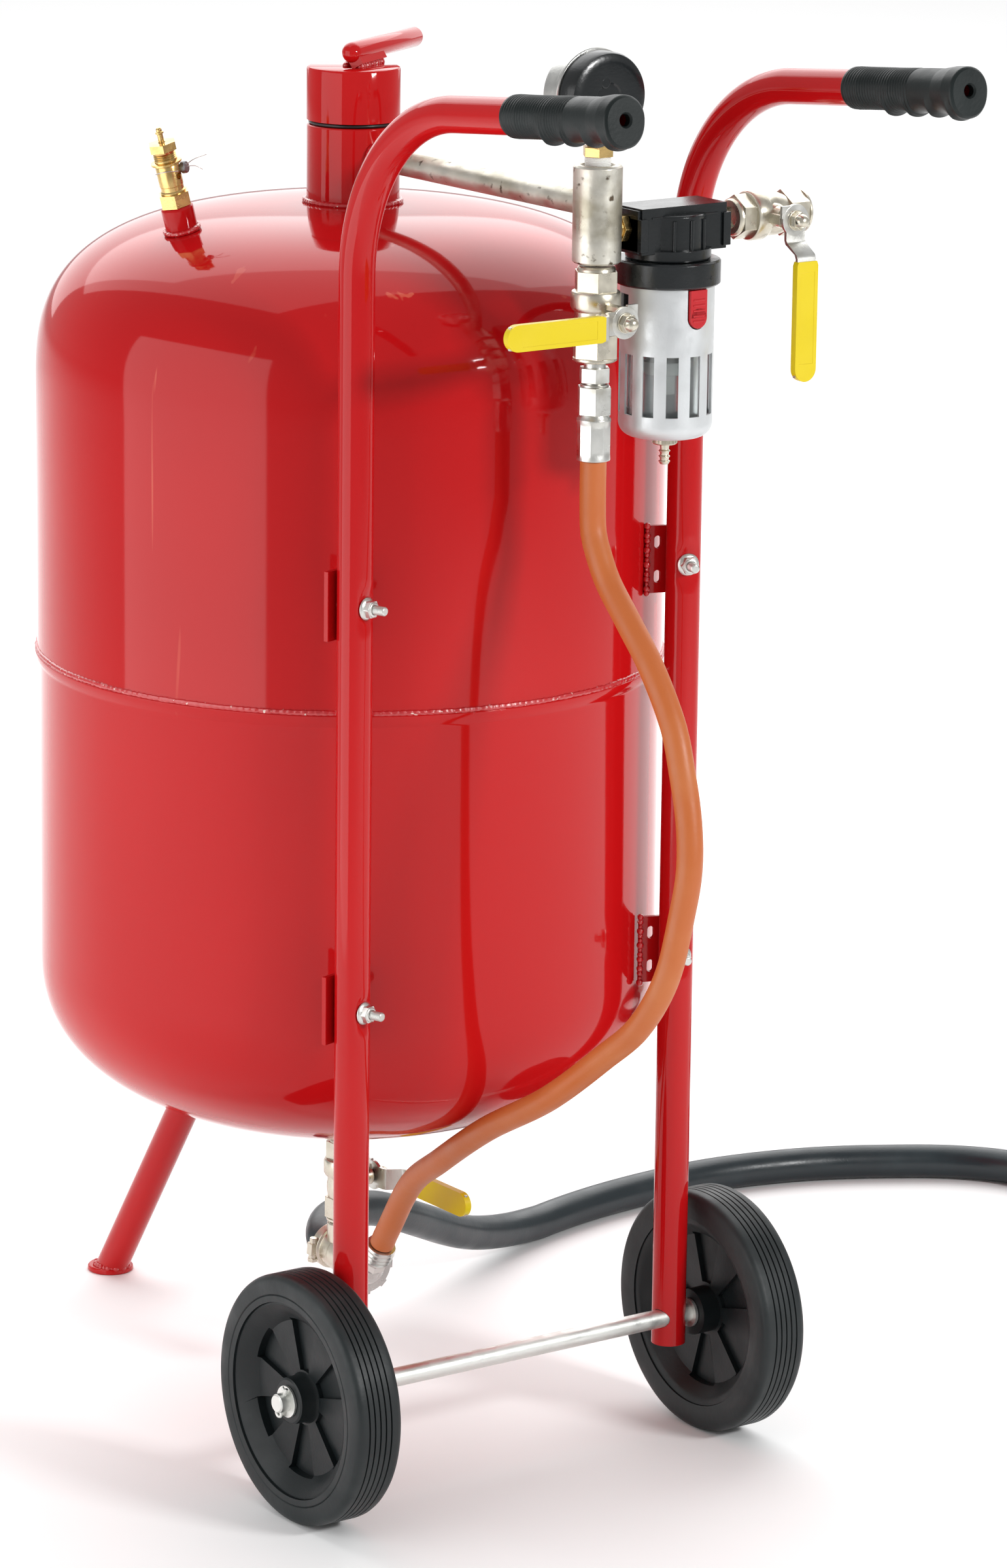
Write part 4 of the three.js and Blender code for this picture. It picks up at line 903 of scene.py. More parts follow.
def make_leg():
    """The strut leg behind the tank, with its foot disc and both welds."""
    foot, top = Vector((0, LEG_FOOT_Y, 0)), Vector((0, *LEG_TOP))
    direction = (top - foot).normalized()
    length = (top - foot).length
    disc = put(spindle([(15.2, 0), (16, 0.8), (15.6, 3.2), (14.6, 4)], 72), shift(foot))
    floor_cut = block((-60, LEG_FOOT_Y - 80, -60), (60, LEG_FOOT_Y + 80, 1.5))
    tank_profile = [(0, 160), *reversed(dome(BOTTOM_DOME, -1, 0.5, 30, TANK_R + 0.2)), (0, 320)]
    tank_cut = put(turned(tank_profile, 90), shift((0, TANK_Y, 0)))
    tube = put(rod(LEG_R, -4, length + 22, 64), aim(foot, direction))
    fixed("rear_leg_tube", tube, RED, "paint", "rear_leg", 0.3, [floor_cut, tank_cut])
    fixed("rear_leg_foot", disc, RED, "paint", bevel=0.3)
    weld = []
    for k in range(26):
        angle = 2 * math.pi * k / 26
        spot = Vector((11.2 * math.cos(angle), 0, 0)) + Vector((0, 11.2 * math.sin(angle) * 1.06 - 2.4, 4.4))
        weld.append(ball(2.0 + 0.5 * math.sin(2.9 * k), foot + spot, 8, 12))
    weld_bead("rear_leg_foot_weld", join(*weld))
    ring_points = []
    for k in range(40):
        angle = 2 * math.pi * k / 40
        spot = leg_on_dome(foot, direction, angle)
        ring_points.append(ball(2.5 + 0.5 * math.sin(2.3 * k), spot, 8, 12))
    weld_bead("rear_leg_top_weld", join(*ring_points))


def leg_on_dome(foot, direction, angle):
    """Where a line along the leg's wall meets the bottom dome."""
    side = direction.orthogonal().normalized()
    other = direction.cross(side)
    line = foot + side * (LEG_R * math.cos(angle)) + other * (LEG_R * math.sin(angle))
    z0, rise, power = BOTTOM_DOME
    travel = 180.0
    while travel < 330:
        p = line + direction * travel
        r = math.hypot(p.x, p.y - TANK_Y)
        if r < LOWER_R and z0 - rise * (1 - (r / LOWER_R) ** power) ** (1 / power) <= p.z:
            break
        travel += 0.5
    return p


# ---------------------------------------------------------------- axle and wheels
def span(side, a, b):
    """The distances a and b out on one side, as heights on the axle, the lower one first."""
    return sorted((side * a, side * b))


def make_axle():
    """The axle with its spacers, washers and split pins."""
    where = aim(Vector((0, AXLE_Y, AXLE_Z)), (1, 0, 0))
    shapes = [spindle([(AXLE_R - 0.9, -AXLE_END), (AXLE_R, -AXLE_END + 1), (AXLE_R, AXLE_END - 1),
                       (AXLE_R - 0.9, AXLE_END)], 56)]
    face = WHEEL_X + 16
    for side in (-1, 1):
        shapes.append(rod(9.5, *span(side, TUBE_X + 12.5, WHEEL_X - 17.5), 56))
        shapes.append(ring(AXLE_R, 10, *span(side, face + 0.3, face + 1.8)))
        pin_x = side * (face + 4.2)
        pin = [Vector((pin_x, 0, 11)), Vector((pin_x, 0, -7)), Vector((pin_x + side * 0.4, 2.2, -9.5)),
               Vector((pin_x, 0, -11.2)), Vector((pin_x - side * 0.3, -2.4, -9.4)),
               Vector((pin_x, -0.6, -6))]
        leg = [Vector((pin_x, 0.4, 5)), Vector((pin_x, 1.2, 8)), Vector((pin_x + side * 0.8, 3.6, 10))]
        place = shift((0, AXLE_Y, AXLE_Z)) @ Matrix.Rotation(rad(-25 * side), 4, "X")
        for bent, thick in ((pin, 1.05), (leg, 0.9)):
            route = [where.inverted() @ (place @ p) for p in smooth_route(bent, 1)]
            shapes.append(swept(route, thick, 12))
    fixed("axle_bar", put(join(*shapes), where), AXLE_STEEL, "zinc", "axle", 0.2)


def make_wheels():
    """Each wheel: a disc with six pockets on either face, and a solid grooved tyre."""
    half = WHEEL_HALF
    rim = RIM_R - 0.3
    for side, label in ((-1, "left"), (1, "right")):
        where = aim(Vector((side * WHEEL_X, AXLE_Y, AXLE_Z)), (side, 0, 0))
        disc = hoop([
            (AXLE_R + 0.4, -half), (BOSS_R, -half), (BOSS_R, -4), (rim - 13, -5), (rim - 5, -half + 4),
            (rim - 3, -half + 2.4), (rim, -half + 2), (rim, half - 2), (rim - 1.2, half - 1.8),
            (rim - 2.2, half - 2.6), (rim - 5, half - 4), (rim - 13, 5), (BOSS_R + 1.2, 4), (BOSS_R, 6),
            (BOSS_R - 0.4, half - 1.8), (BOSS_R - 1.6, half - 1), (AXLE_R + 0.4, half - 1),
        ], 120)
        pockets = []
        for middle in range(0, 360, 60):
            outline = fan(POCKET_IN, POCKET_OUT, middle, 15)
            pockets += [plate(outline, 1.2, half + 4), plate(outline, -half - 4, -1.2)]
        piece(f"wheel_disc_{label}", put(disc, where), f"wheel_{label}", HUB_PLASTIC, "black_plastic",
              f"wheel_hub_{label}", 0.8, [put(p, where) for p in pockets])
        profile = [(RIM_R, -half + 1), (WHEEL_R - 12, -half + 0.3), (WHEEL_R - 8, -half),
                   (WHEEL_R - 5, -half + 0.5)]
        soft = TYRE_ROUND
        profile += [(WHEEL_R - soft + soft * math.sin(rad(a)), -half + 5.5 - soft * math.cos(rad(a)))
                    for a in range(15, 91, 15)]
        for at in TYRE_GROOVES:
            profile += [(WHEEL_R, at - 0.55), (WHEEL_R - 1.3, at - 0.2), (WHEEL_R - 1.3, at + 0.2),
                        (WHEEL_R, at + 0.55)]
        profile += [(WHEEL_R - soft + soft * math.cos(rad(a)), half - 5.5 + soft * math.sin(rad(a)))
                    for a in range(0, 76, 15)]
        profile += [(WHEEL_R - 5, half - 0.5), (WHEEL_R - 8, half), (WHEEL_R - 12, half - 0.3),
                    (WHEEL_R - 12.6, half - 0.9), (WHEEL_R - 13.2, half - 0.3), (RIM_R, half - 0.7),
                    (RIM_R, -half + 1)]
        piece(f"wheel_tyre_{label}", put(turned(profile, 160), where), f"wheel_{label}", TYRE, "tyre",
              f"tyre_{label}", 0)


def fan(inner, outer, middle, spread, steps=8):
    """A pocket's outline: an arc at outer, a shorter arc at inner, both with the same spread."""
    outline = [(outer * math.cos(rad(middle + a)), outer * math.sin(rad(middle + a)))
               for a in (spread * (2 * k / steps - 1) for k in range(steps + 1))]
    outline += [(inner * math.cos(rad(middle + a)), inner * math.sin(rad(middle + a)))
                for a in (spread * (1 - 2 * k / steps) for k in range(steps + 1))]
    return outline


# ---------------------------------------------------------------- ball valves
Y_AXIS = Vector((0, 1, 0))
VALVE_BORE, EYE_R, CRANK, SLEEVE_THICK = 6.5, 3.95, 11.5, 4.6


def valve_frame(centre, cap, stem):
    """A valve's own frame: flow along Z, stem along Y."""
    z, y = Vector(cap).normalized(), Vector(stem).normalized()
    return basis(y.cross(z), y, z, Vector(centre))


def on_stem(shape):
    """A shape turned from Z to the valve's stem."""
    return put(shape, aim(Vector((0, 0, 0)), Y_AXIS))


def on_edge(shape):
    """A plate turned so that its outline lies in XZ and its thickness along Y."""
    points, faces = shape
    return [Vector((p.x, p.z, p.y)) for p in points], faces


def valve_body_shape(stem_top, cap_end, half=27.5):
    """A ball valve's casting: screwed cap, barrel, hexagonal end, bonnet and lever stop."""
    cap = join(
        hexagon(24, 9, cap_end - 3),
        hoop([(VALVE_BORE, 15), (11.7, 15), (11.7, cap_end - 2), (11.2, cap_end - 1.0), (10.4, cap_end),
              (VALVE_BORE, cap_end)], 64),
        hoop([(VALVE_BORE, 3), (13, 3), (14.4, 4.2), (15.2, 6), (15.2, 13.6), (14.4, 15.2), (12.4, 15.5),
              (VALVE_BORE, 15.5)], 72),
    )
    body = hoop([(VALVE_BORE, -12), (11.8, -12), (12.6, -9.5), (13.2, -6), (13.2, -1.5), (12.6, 0.6),
                 (13, 4), (VALVE_BORE, 4)], 72)
    end = join(
        hexagon(25, -half + 2.5, -11),
        hoop([(VALVE_BORE, -half), (12.0, -half), (13.4, -half + 1), (13.4, -half + 2.6),
              (VALVE_BORE, -half + 2.6)], 64),
    )
    bonnet = on_stem(join(
        hoop([(4.4, 8), (8.6, 8), (7.2, 12.8), (6.6, 13.4), (6.6, stem_top - 9), (4.4, stem_top - 9)], 48),
        hoop([(4.2, stem_top - 11), (5.6, stem_top - 11), (6.0, stem_top - 10), (6.0, stem_top - 3.4),
              (5.2, stem_top - 2.6), (4.2, stem_top - 2.6)], 48),
        ring(4.2, 6.4, stem_top - 6.8, stem_top - 6.2, 6),
    ))
    stop = block((-3, 6, 5.5), (3, stem_top - 3.2, 8.8))
    return join(cap, body, end, bonnet, stop)


def stem_shape(stem_top):
    """The ball, the stem, and the washer and domed nut that hold the lever."""
    shaft = spindle([(3.4, 7), (3.4, stem_top + 7.6)], 40)
    washer = ring(3.4, 6.2, stem_top + 1.3, stem_top + 2.1, 48)
    nut = hexagon(10, stem_top + 2.1, stem_top + 6.4)
    crown = turned([(0, stem_top + 6), (4.7, stem_top + 6), (4.5, stem_top + 7), (4.0, stem_top + 8.8),
                    (3.0, stem_top + 10.2), (1.6, stem_top + 10.9), (0, stem_top + 11.1)], 40)
    return join(ball(9.4), on_stem(shaft), on_stem(washer), on_stem(nut), on_stem(crown))


def crank_profile(low, crank, thick, end):
    """The lever's bent strip seen from its edge, with the two bends rounded."""
    outer = low + crank
    line = [(-2, low), (12, low), (14.5, low + 1.2), (19.5, outer - 1.2), (22, outer), (end, outer)]
    upper = [(x, y + thick) for x, y in line]
    upper[1] = (11.4, low + thick)
    upper[2] = (13.3, low + thick + 0.8)
    return line + upper[::-1]


def lever_shapes(stem_top, length):
    """A lever's bent strip, its eye, its vinyl sleeve, and the shallow panel cut into the sleeve."""
    low, thick = stem_top - 1, 2.2
    outer = low + CRANK
    half = 8
    strip = plate(crank_profile(low, CRANK, thick, length - 2.6), -(half - 1.0), half - 1.0)
    under, over = low - 0.06, low + thick + 0.06
    lobe = on_stem(hoop([(EYE_R, under), (9.8, under), (9.8, over), (EYE_R, over)], 48))
    ear = block((-9.0, low + 0.1, 2.5), (-1.5, low + thick - 0.1, half + 2.6))
    shank = join(strip, ear)
    base = outer - (SLEEVE_THICK - thick) / 2
    outline = [(23.5, -half + 0.9), (26, -half)]
    end = length - half
    outline += [(end + half * math.cos(rad(a)), half * math.sin(rad(a))) for a in range(-90, 91, 10)]
    outline += [(26, half), (23.5, half - 0.9)]
    top = base + SLEEVE_THICK
    sleeve = on_edge(plate(outline, base, top))
    recess = on_edge(block((30, -half + 2.6, top - 0.25), (length - 11, half - 2.6, top + 1)))
    return shank, lobe, sleeve, recess


def make_valve(name, handle, where, stem_top, cap_end, length, shared_node=None):
    """A ball valve whose ball, stem and lever ride on handle. shared_node is one CAD node for them."""
    fixed(f"{name}_casting", put(valve_body_shape(stem_top, cap_end), where), NICKEL, "nickel",
          f"{name}_body", 0.5)
    stem_node, lever_node = (shared_node, shared_node) if shared_node else (f"{name}_stem", f"{name}_lever")
    slot = "nickel" if shared_node else "zinc"
    piece(f"{name}_spindle", put(stem_shape(stem_top), where), handle, NICKEL, slot, stem_node, 0.3)
    shank, lobe, sleeve, recess = lever_shapes(stem_top, length)
    hole = put(on_stem(rod(EYE_R, 0, stem_top + 12, 32)), where)
    piece(f"{name}_handle", put(shank, where), handle, ZINC, "zinc", lever_node, 0.35, [hole],
          overlapping=True)
    piece(f"{name}_handle_eye", put(lobe, where), handle, ZINC, "zinc", bevel=0.3)
    piece(f"{name}_grip", put(sleeve, where), handle, YELLOW, "yellow_vinyl", bevel=1.3,
          cutters=[put(recess, where)])


# ---------------------------------------------------------------- air line
def make_manifold():
    """The pipe from the neck and the worn coupling at its end."""
    start, end = TANK_Y - NECK_R - 0.4, LINE_Y + COUPLING_R - 1
    pipe = rod(PIPE_R, 0, start - end, 64)
    fixed("air_line_pipe", put(pipe, aim(Vector((0, start, PIPE_Z)), (0, -1, 0))), GALVANISED, "galvanised",
          "manifold_pipe", 0.2)
    low, high = COUPLING_LOW, COUPLING_HIGH
    outline = [(0, low + 4), (9, low + 3), (10.5, low), (13.2, low), (COUPLING_R, low + 1.2),
               (COUPLING_R, high - 1.4), (13.6, high), (10.5, high), (9, high - 2.5), (0, high - 3)]
    coupling = turned(outline, 96)
    points = [p + Vector((p.x, p.y, 0)).normalized() * 0.25 * noise.noise(p * 0.09)
              if math.hypot(p.x, p.y) > 14 else p for p in coupling[0]]
    fixed("air_line_coupling", put((points, coupling[1]), shift((0, LINE_Y, 0))), GALVANISED, "galvanised",
          "manifold_coupling", 0.3)


def make_gauge():
    """The pressure gauge, which looks to the back, on its adapter with thread tape."""
    base = COUPLING_HIGH + 0.3
    line = shift((0, LINE_Y, 0))
    back = GAUGE_BACK + 1.2
    lug = block((-7, back - LINE_Y + 0.5, base + 10), (7, back - LINE_Y + 12, base + 16))
    adapter = join(hexagon(17, base + 4.6, base + 10.6), rod(6, base + 10, base + 12.4), lug)
    fixed("gauge_adapter_hex", put(adapter, line), BRASS, "brass", "gauge_adapter", 0.4)
    tape = []
    z = base - 2.5
    while z < base + 4.2:
        swell = 0.7 * math.sin(math.pi * (z - base + 2.5) / 7.6)
        tape += [(7.1 + swell, z), (7.5 + swell, z + 0.45), (7.1 + swell, z + 0.9)]
        z += 0.9
    fixed("gauge_thread_tape", put(turned([(0, base - 2.5), *tape, (0, z)], 56), line), TAPE, "dial", bevel=0)

    where = aim(Vector((0, GAUGE_BACK, GAUGE_Z)), (0, 1, 0))
    case = spindle([
        (8, 1.6), (9, 0.6), (20, 0), (24.0, 0.2), (26.2, 1.2), (GAUGE_R, 3), (GAUGE_R, CASE_DEPTH),
        (BEZEL_R - 3.4, CASE_DEPTH), (BEZEL_R - 3.4, 4),
    ], 128)
    vent = put(rod(1.7, -1, 3, 32), shift((0, 6, 0)))
    fixed("gauge_back_case", put(case, where), BLACK_PLASTIC, "black_plastic", "gauge_case", 0.3,
          [put(vent, where)])
    plug = put(spindle([(3.4, 1.0), (3.4, 0.4), (2.8, 0)], 40), shift((-3, -9, 0.4)))
    fixed("gauge_back_plug", put(plug, where), BLACK_PLASTIC, "black_plastic", bevel=0.2)
    depth = GAUGE_DEPTH
    bezel = hoop([
        (DIAL_R + 1.2, CASE_DEPTH + 0.3), (BEZEL_R - 0.6, CASE_DEPTH + 0.3), (BEZEL_R, CASE_DEPTH + 1),
        (BEZEL_R, CASE_DEPTH + 3), (BEZEL_R - 0.5, CASE_DEPTH + 3.6), (BEZEL_R - 0.5, depth - 3),
        (BEZEL_R - 1, depth - 1.2), (BEZEL_R - 2.2, depth - 0.2), (BEZEL_R - 3.4, depth),
        (DIAL_R - 1.2, depth - 0.4), (DIAL_R - 1.2, depth - 2), (DIAL_R + 1.2, depth - 2),
    ], 128)
    fixed("gauge_bezel_ring", put(bezel, where), CHROME, "chrome", "gauge_bezel", 0.2)
    fixed("gauge_dial_plate", put(rod(DIAL_R, DIAL_FACE - 1, DIAL_FACE, 96), where), DIAL, "dial",
          "gauge_dial", 0.1)
    ticks = []
    for k in range(SCALE_STEPS + 1):
        wide, inner = (0.28, 17.6) if k % 5 == 0 else (0.14, 19.4)
        tick = block((-wide, inner, DIAL_FACE), (wide, 21.6, DIAL_FACE + 0.12))
        ticks.append(put(tick, spun(SCALE_START + SCALE_SWEEP * k / SCALE_STEPS)))
    ticks.append(hoop([(21.9, 23), (22.3, 23), (22.3, 23.1), (21.9, 23.1)], 96))
    fixed("gauge_dial_marks", put(join(*ticks), where), BLACK_PLASTIC, "black_plastic", bevel=0)
    needle = join(plate([(-1.1, -7), (1.1, -7), (1.1, 8), (0.3, 18.5), (-0.3, 18.5), (-1.1, 8)], 24, 24.7),
                  spindle([(3, 23.3), (3, 25.2), (2.4, 25.6)], 40))
    piece("gauge_pointer", put(put(needle, spun(-SCALE_START)), where), "needle", BLACK_PLASTIC,
          "black_plastic", "gauge_needle", 0.1)
    window = turned([(0, 26.2), (DIAL_R + 0.7, 26.2), (DIAL_R + 0.7, 27.4), (0, 27.7)], 96)
    fixed("gauge_window_pane", put(window, where), GLASS, "clear_plastic", "gauge_glass", 0.1)


def make_filter():
    """The filter: nipple, head, collar, slotted guard, red latch, clear bowl, element and drain."""
    x, z = FILTER_X, 800.5
    line = shift((x, LINE_Y, 0))
    nipple = join(spindle([(6.6, 14.2), (6.6, 21)], 48), hexagon(15, 15.2, 20.2))
    fixed("filter_inlet_nipple", put(nipple, aim(Vector((0, LINE_Y, LINE_Z)), (1, 0, 0), 30)), BRASS,
          "brass", "filter_nipple", 0.3)
    low, high = z - 14, z + 14
    left, right = 20.6 - x, 88 - x
    dome_front = spindle([(21.2, low - 4), (22, low - 3.2), (22, high - 6), (21, high - 5)], 96)
    head = join(
        block((left + 2, -15, low), (right - 2, 15, high)),
        block((left, -13.4, low + 1), (left + 7, 13.4, high - 1)),
        block((left, -16.8, low + 2), (left + 5.5, 16.8, high - 6)),
        block((right - 5.5, -16.8, low + 2), (right, 16.8, high - 6)),
        put(dome_front, shift((0, -1, 0))),
        spindle([(25.6, 781.8), (26, 782.4), (26, low + 2)], 96),
        block((left + 9, -15.6, high - 6.6), (right - 9, 15.6, high - 5.4)),
        put(spindle([(11, 0), (11, 5), (10.2, 5.6)], 64), aim(Vector((right - 5.2, 0, LINE_Z)), (1, 0, 0))),
    )
    flutes = []
    for a in (-58, -29, 0, 29, 58):
        spot = (22.4 * math.sin(rad(a)), -1 - 22.4 * math.cos(rad(a)), 0)
        flutes.append(put(rod(1.2, low - 1, high - 8, 20), shift(spot)))
    fixed("filter_head_body", put(head, line), BLACK_PLASTIC, "black_plastic", "filter_head", 0.8)
    fixed("filter_head_flutes", put(join(*flutes), line), BLACK_PLASTIC, "black_plastic", bevel=0)

    collar = hoop([(24, COLLAR_LOW), (COLLAR_R - 1.4, COLLAR_LOW), (COLLAR_R, COLLAR_LOW + 1.2),
                   (COLLAR_R, COLLAR_TOP - 1), (COLLAR_R - 1, COLLAR_TOP), (24, COLLAR_TOP)], 128)
    dot = put(rod(1.5, COLLAR_R - 1, COLLAR_R + 0.3, 24), aim(Vector((0, 0, 772)), (0.35, -1, 0)))
    fixed("filter_collar_ring", put(join(collar, dot), line), BLACK_PLASTIC, "black_plastic",
          "filter_collar", 0.3)

    top, bottom = COLLAR_LOW - 0.3, GUARD_BOTTOM
    r = GUARD_R
    corner = [(r - 9 + 9 * math.sin(rad(a)), bottom + 9 - 9 * math.cos(rad(a))) for a in range(0, 91, 10)]
    inner = [(r - 9 + 7.4 * math.sin(rad(a)), bottom + 9 - 7.4 * math.cos(rad(a)))
             for a in range(90, -1, -15)]
    shell = hoop([(6, bottom), *corner, (r, top), (r - 1.6, top), *inner, (6, bottom + 1.6)], 120)
    cuts = []
    for i in range(SLOTS):
        slot = block((-3.7, -18.5, r - 7), (3.7, 18.5, r + 4))
        upright = put(slot, basis(Vector((0, 1, 0)), Vector((0, 0, 1)), Vector((1, 0, 0)),
                                  Vector((0, 0, 706.5))))
        cuts.append(put(upright, line @ spun(360 * i / SLOTS + 1)))
    turn = spun(-87)
    way = put(block((r - 6, -7.1, 748), (r + 4, 7.1, 767)), turn)
    spare_way = put(block((r - 6, -5.2, 738), (r + 4, 5.2, 761)), spun(168))
    way_end = put(put(rod(7.1, r - 6, r + 4), aim(Vector((0, 0, 748.4)), (1, 0, 0))), turn)
    piece("filter_guard_shell", put(shell, line), "filter_cup", SILVER, "silver_paint", "filter_guard",
          0.35, [*cuts, put(way, line), put(way_end, line), put(spare_way, line)])
    latch = join(block((r - 1.4, -6.4, 748.4), (r + 1.3, 6.4, top - 0.3)),
                 put(rod(6.4, r - 1.4, r + 1.3), aim(Vector((0, 0, 748.5)), (1, 0, 0))),
                 *[block((r + 1.0, -4.6, 746 + 3.2 * k), (r + 1.8, 4.6, 747.2 + 3.2 * k))
                   for k in range(5)])
    piece("filter_latch_button", put(put(latch, turn), line), "latch", RED_PLASTIC, "red_plastic",
          "filter_latch", 0.4)
    bowl_r = r - 5.2
    bowl = hoop([(5.2, 678.6), (bowl_r - 8, 678.6), (bowl_r - 2.4, 680.4), (bowl_r, 686),
                 (bowl_r, COLLAR_TOP - 3), (bowl_r - 2.4, COLLAR_TOP - 3), (bowl_r - 2.4, 687),
                 (bowl_r - 9, 681.2), (5.2, 681.2)], 96)
    piece("filter_bowl_cup", put(bowl, line), "filter_cup", CLEAR, "clear_plastic", "filter_bowl", 0.2)
    inside = join(rod(5.5, 700, 758), spindle([(13, 712), (15, 716), (15, 720), (6, 722)], 64),
                  spindle([(12, 730), (12, 757)], 64))
    piece("filter_element", put(inside, line), "filter_cup", DIAL, "dial", bevel=0.5)
    drain = join(
        rod(4.6, 671, 681),
        spindle([(6.8, 667.5), (7.4, 668.2), (7.4, 671.8), (6.8, 672.4)], 64),
        spindle([(2.4, 655), (3.0, 656), (3.6, 657), (2.6, 657.6), (2.8, 659), (3.6, 660), (2.6, 660.8),
                 (2.8, 662.4), (3.6, 663.4), (2.6, 664.2), (3, 668)], 40),
        *[put(block((6.9, -0.5, 668.2), (7.8, 0.5, 671.8)), spun(20 * k)) for k in range(18)],
    )
    piece("filter_drain_knob", put(drain, line), "drain", NICKEL, "nickel", "filter_drain", 0.2)


def crimped(low, high, radius, flats=8):
    """A hose ferrule squeezed into flats along its length, round at both ends."""
    steps, sides = 24, 96
    points = []
    for i in range(steps + 1):
        t = i / steps
        squeeze = max(0.0, min(1.0, (t - 0.06) / 0.1, (0.82 - t) / 0.08))
        r = radius * (0.86 + 0.14 * min(1.0, (1 - t) / 0.12)) + 0.3 * math.exp(-((t - 0.86) / 0.03) ** 2)
        for k in range(sides):
            angle = 2 * math.pi * k / sides
            off = (angle * flats / (2 * math.pi)) % 1 - 0.5
            flat = math.cos(math.pi / flats) / math.cos(off * 2 * math.pi / flats)
            here = r * (1 + squeeze * (flat - 1) * 0.9)
            points.append(Vector((here * math.cos(angle), here * math.sin(angle), low + (high - low) * t)))
    return capped(points, sides)


def make_hose_ends():
    """The air hose's crimped upper fitting and its barbed lower one."""
    upper = join(crimped(663, 691.5, 10.2), hexagon(19, 691, 708), spindle([(8.6, 707), (8.6, 709.4)], 48),
                 hexagon(17, 710.5, 719.5), spindle([(6.6, 705), (6.6, 722.5)], 48))
    fixed("air_hose_upper_fitting", put(upper, shift((0, LINE_Y, 0))), ZINC, "zinc", "air_hose_upper_end",
          0.4)
    lower = join(spindle([(5, 3), (5, 10)], 40), hexagon(14, 4, 9),
                 turned([(0, 9), (7.6, 9), (8.6, 10), (9.8, 12.4), (9.0, 13.4), (10.2, 15.4), (9.4, 16.6),
                         (10.4, 18.6), (9.6, 20), (10.2, 22), (9.6, 23.4), (0, 23.9)], 64))
    nut_clear = join(rod(20.2, 0, 28.3), rod(11.3, 20, 32.8))
    fixed("air_hose_lower_fitting", put(lower, aim(cap_face, air_port)), ZINC, "zinc", "air_hose_lower_end",
          0.35, [put(nut_clear, aim(tee_centre, tee_down))], overlapping=True)


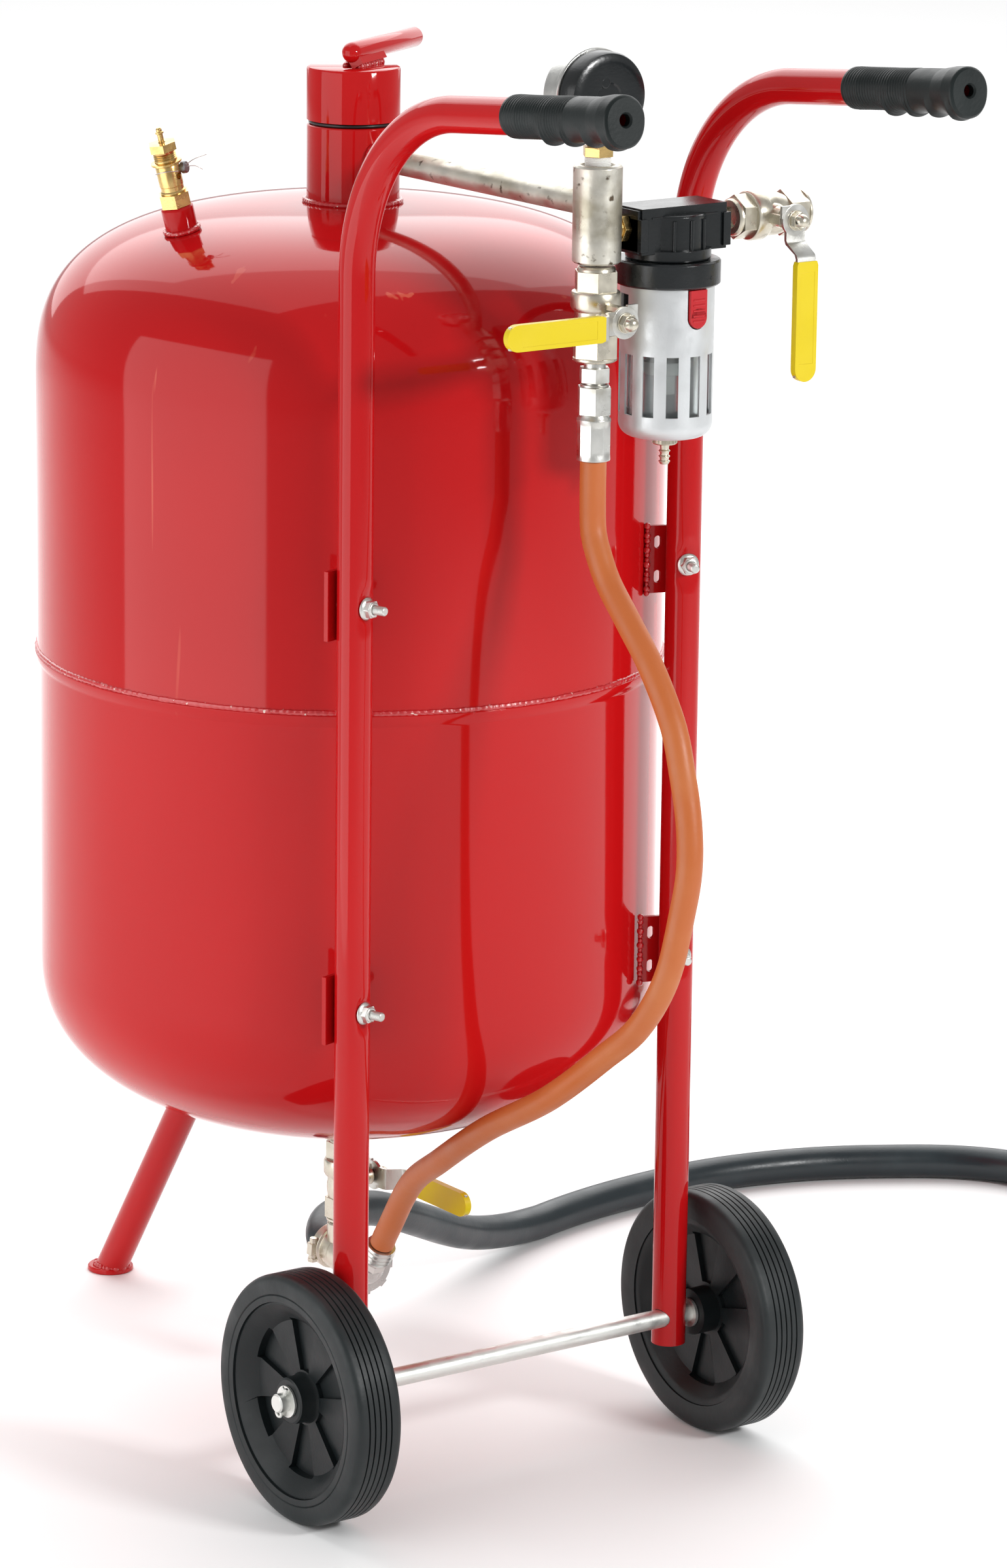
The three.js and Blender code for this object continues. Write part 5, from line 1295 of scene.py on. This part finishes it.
def make_outlet():
    """What hangs under the tank: nipple, mixing tee, hose clamp and union nut."""
    top = MEDIA_Z + 30.3
    thread = [(6, top), (10.4, top), (11.2, top + 1)]
    z = top + 1
    while z < 187:
        thread += [(11.5, z + NIPPLE_PITCH / 2), (10.8, z + NIPPLE_PITCH)]
        z += NIPPLE_PITCH
    thread += [(11.5, 188), (11.9, 190), (11.9, 198), (6, 198), (6, top)]
    fixed("outlet_nipple", put(turned(thread, 72), shift((0, TANK_Y, 0))), ZINC, "zinc", "outlet_pipe",
          0.15)
    weld_bead("outlet_weld", weld_ring(13.4, 190.4, 1.8, 1.8, (0, TANK_Y, 0), 28, 224))

    riser_top = MEDIA_Z - 27.8
    riser = spindle([(10.4, TEE_Z), (10.4, TEE_Z + 9), (12.6, TEE_Z + 10), (12.8, riser_top - 1),
                     (12, riser_top)], 72)
    barrel = join(
        spindle([(14.4, -20), (15, -19.4), (15, -13.6), (14.4, -13), (13.2, -12.6), (12.8, -8), (12.8, 8),
                 (13.5, 11), (13.5, 14)], 80),
        hoop([(9, -5), (12.6, -5), (13.3, -4), (13.3, 4), (12.6, 5), (9, 5)], 64),
    )
    clamp = join(ring(12.9, 14.6, -18.8, -13.9, 80), block((-18.5, -3.8, -19.2), (-11, 4.6, -13.6)))
    screw = put(join(rod(2.6, -6.5, 8, 32), hexagon(6, -8.6, -6)), aim(Vector((-15.4, 0, -16.4)), (0, 1, 0)))
    where = aim(tee_centre, tee_down)
    shape = join(put(riser, shift((0, TANK_Y, 0))), put(join(barrel, clamp, screw), where))
    fixed("mixing_tee_casting", shape, NICKEL, "nickel", "mixing_tee", 0.5)
    cap = join(
        spindle([(16.4, 14.3), (16.9, 15), (16.9, 26.6), (16.2, 28)], 96),
        *[put(block((15.4, -2.9, 15.4), (18.9, 2.9, 26.4)), spun(45 * k)) for k in range(8)],
        turned([(0, 27), (11, 27), (10.6, 29), (9, 31), (6, 32.2), (0, 32.5)], 72),
    )
    root = rod(6.2, -3, 2.6)
    fixed("union_nut", join(put(cap, where), put(root, aim(cap_face, air_port))), CHROME, "chrome",
          "union_cap", 0.5)


def make_nozzle():
    """The blast hose's ferrule, its ball valve and the knurled ceramic nozzle."""
    origin = tail_end + nozzle_axis * 0.3
    centre = origin + nozzle_axis * 62
    ferrule = [(0, 0), (12.4, 0), (14, 1)]
    for k in range(5):
        ferrule += [(15, 2.6 + 4.8 * k), (15, 5.2 + 4.8 * k), (14.2, 6.2 + 4.8 * k), (14.2, 6.8 + 4.8 * k)]
    ferrule += [(14, 26), (10, 29), (10, 36), (0, 36)]
    fixed("nozzle_hose_ferrule", put(turned(ferrule, 80), aim(origin, nozzle_axis)), ZINC, "nickel",
          bevel=0.2)
    where = valve_frame(centre, -nozzle_axis, nozzle_up)
    make_valve("nozzle_valve", "nozzle_handle", where, 26, 28, 92, "nozzle_valve_lever")
    tip = spindle([(10.4, 28), (11.6, 29), (13.2, 30), (13.5, 31), (13.5, 47), (12.8, 48), (9, 51),
                   (8, 52.5), (8, 80.6), (7.4, 81.7), (4.4, 82), (3.2, 80.5), (3.2, 34)], 72)
    knurl = [put(block((13.2, -0.5, 32), (13.5, 0.5, 46)), spun(10 * k)) for k in range(36)]
    fixed("nozzle_tip", put(join(tip, *knurl), aim(centre, nozzle_axis)), CERAMIC, "ceramic",
          "blast_nozzle", 0.25)


air_hose()
hose, hose_path = blast_hose()
make_tank()
make_lid()
make_safety_valve()
make_frame()
make_tabs()
make_leg()
make_axle()
make_wheels()
make_manifold()
make_gauge()
make_filter()
make_hose_ends()
make_outlet()
make_valve("control_valve", "control_handle", valve_frame((0, LINE_Y, CONTROL_Z), UP, (0, -1, 0)), 29, 30.5,
           95)
make_valve("inlet_valve", "inlet_handle", valve_frame((127, LINE_Y, LINE_Z), (-1, 0, 0), (0, -1, 0)), 29,
           27.5, 97)
make_valve("media_valve", "media_handle", valve_frame((0, TANK_Y, MEDIA_Z), UP, (1, 0, 0)), 21, 30, 92)
make_nozzle()
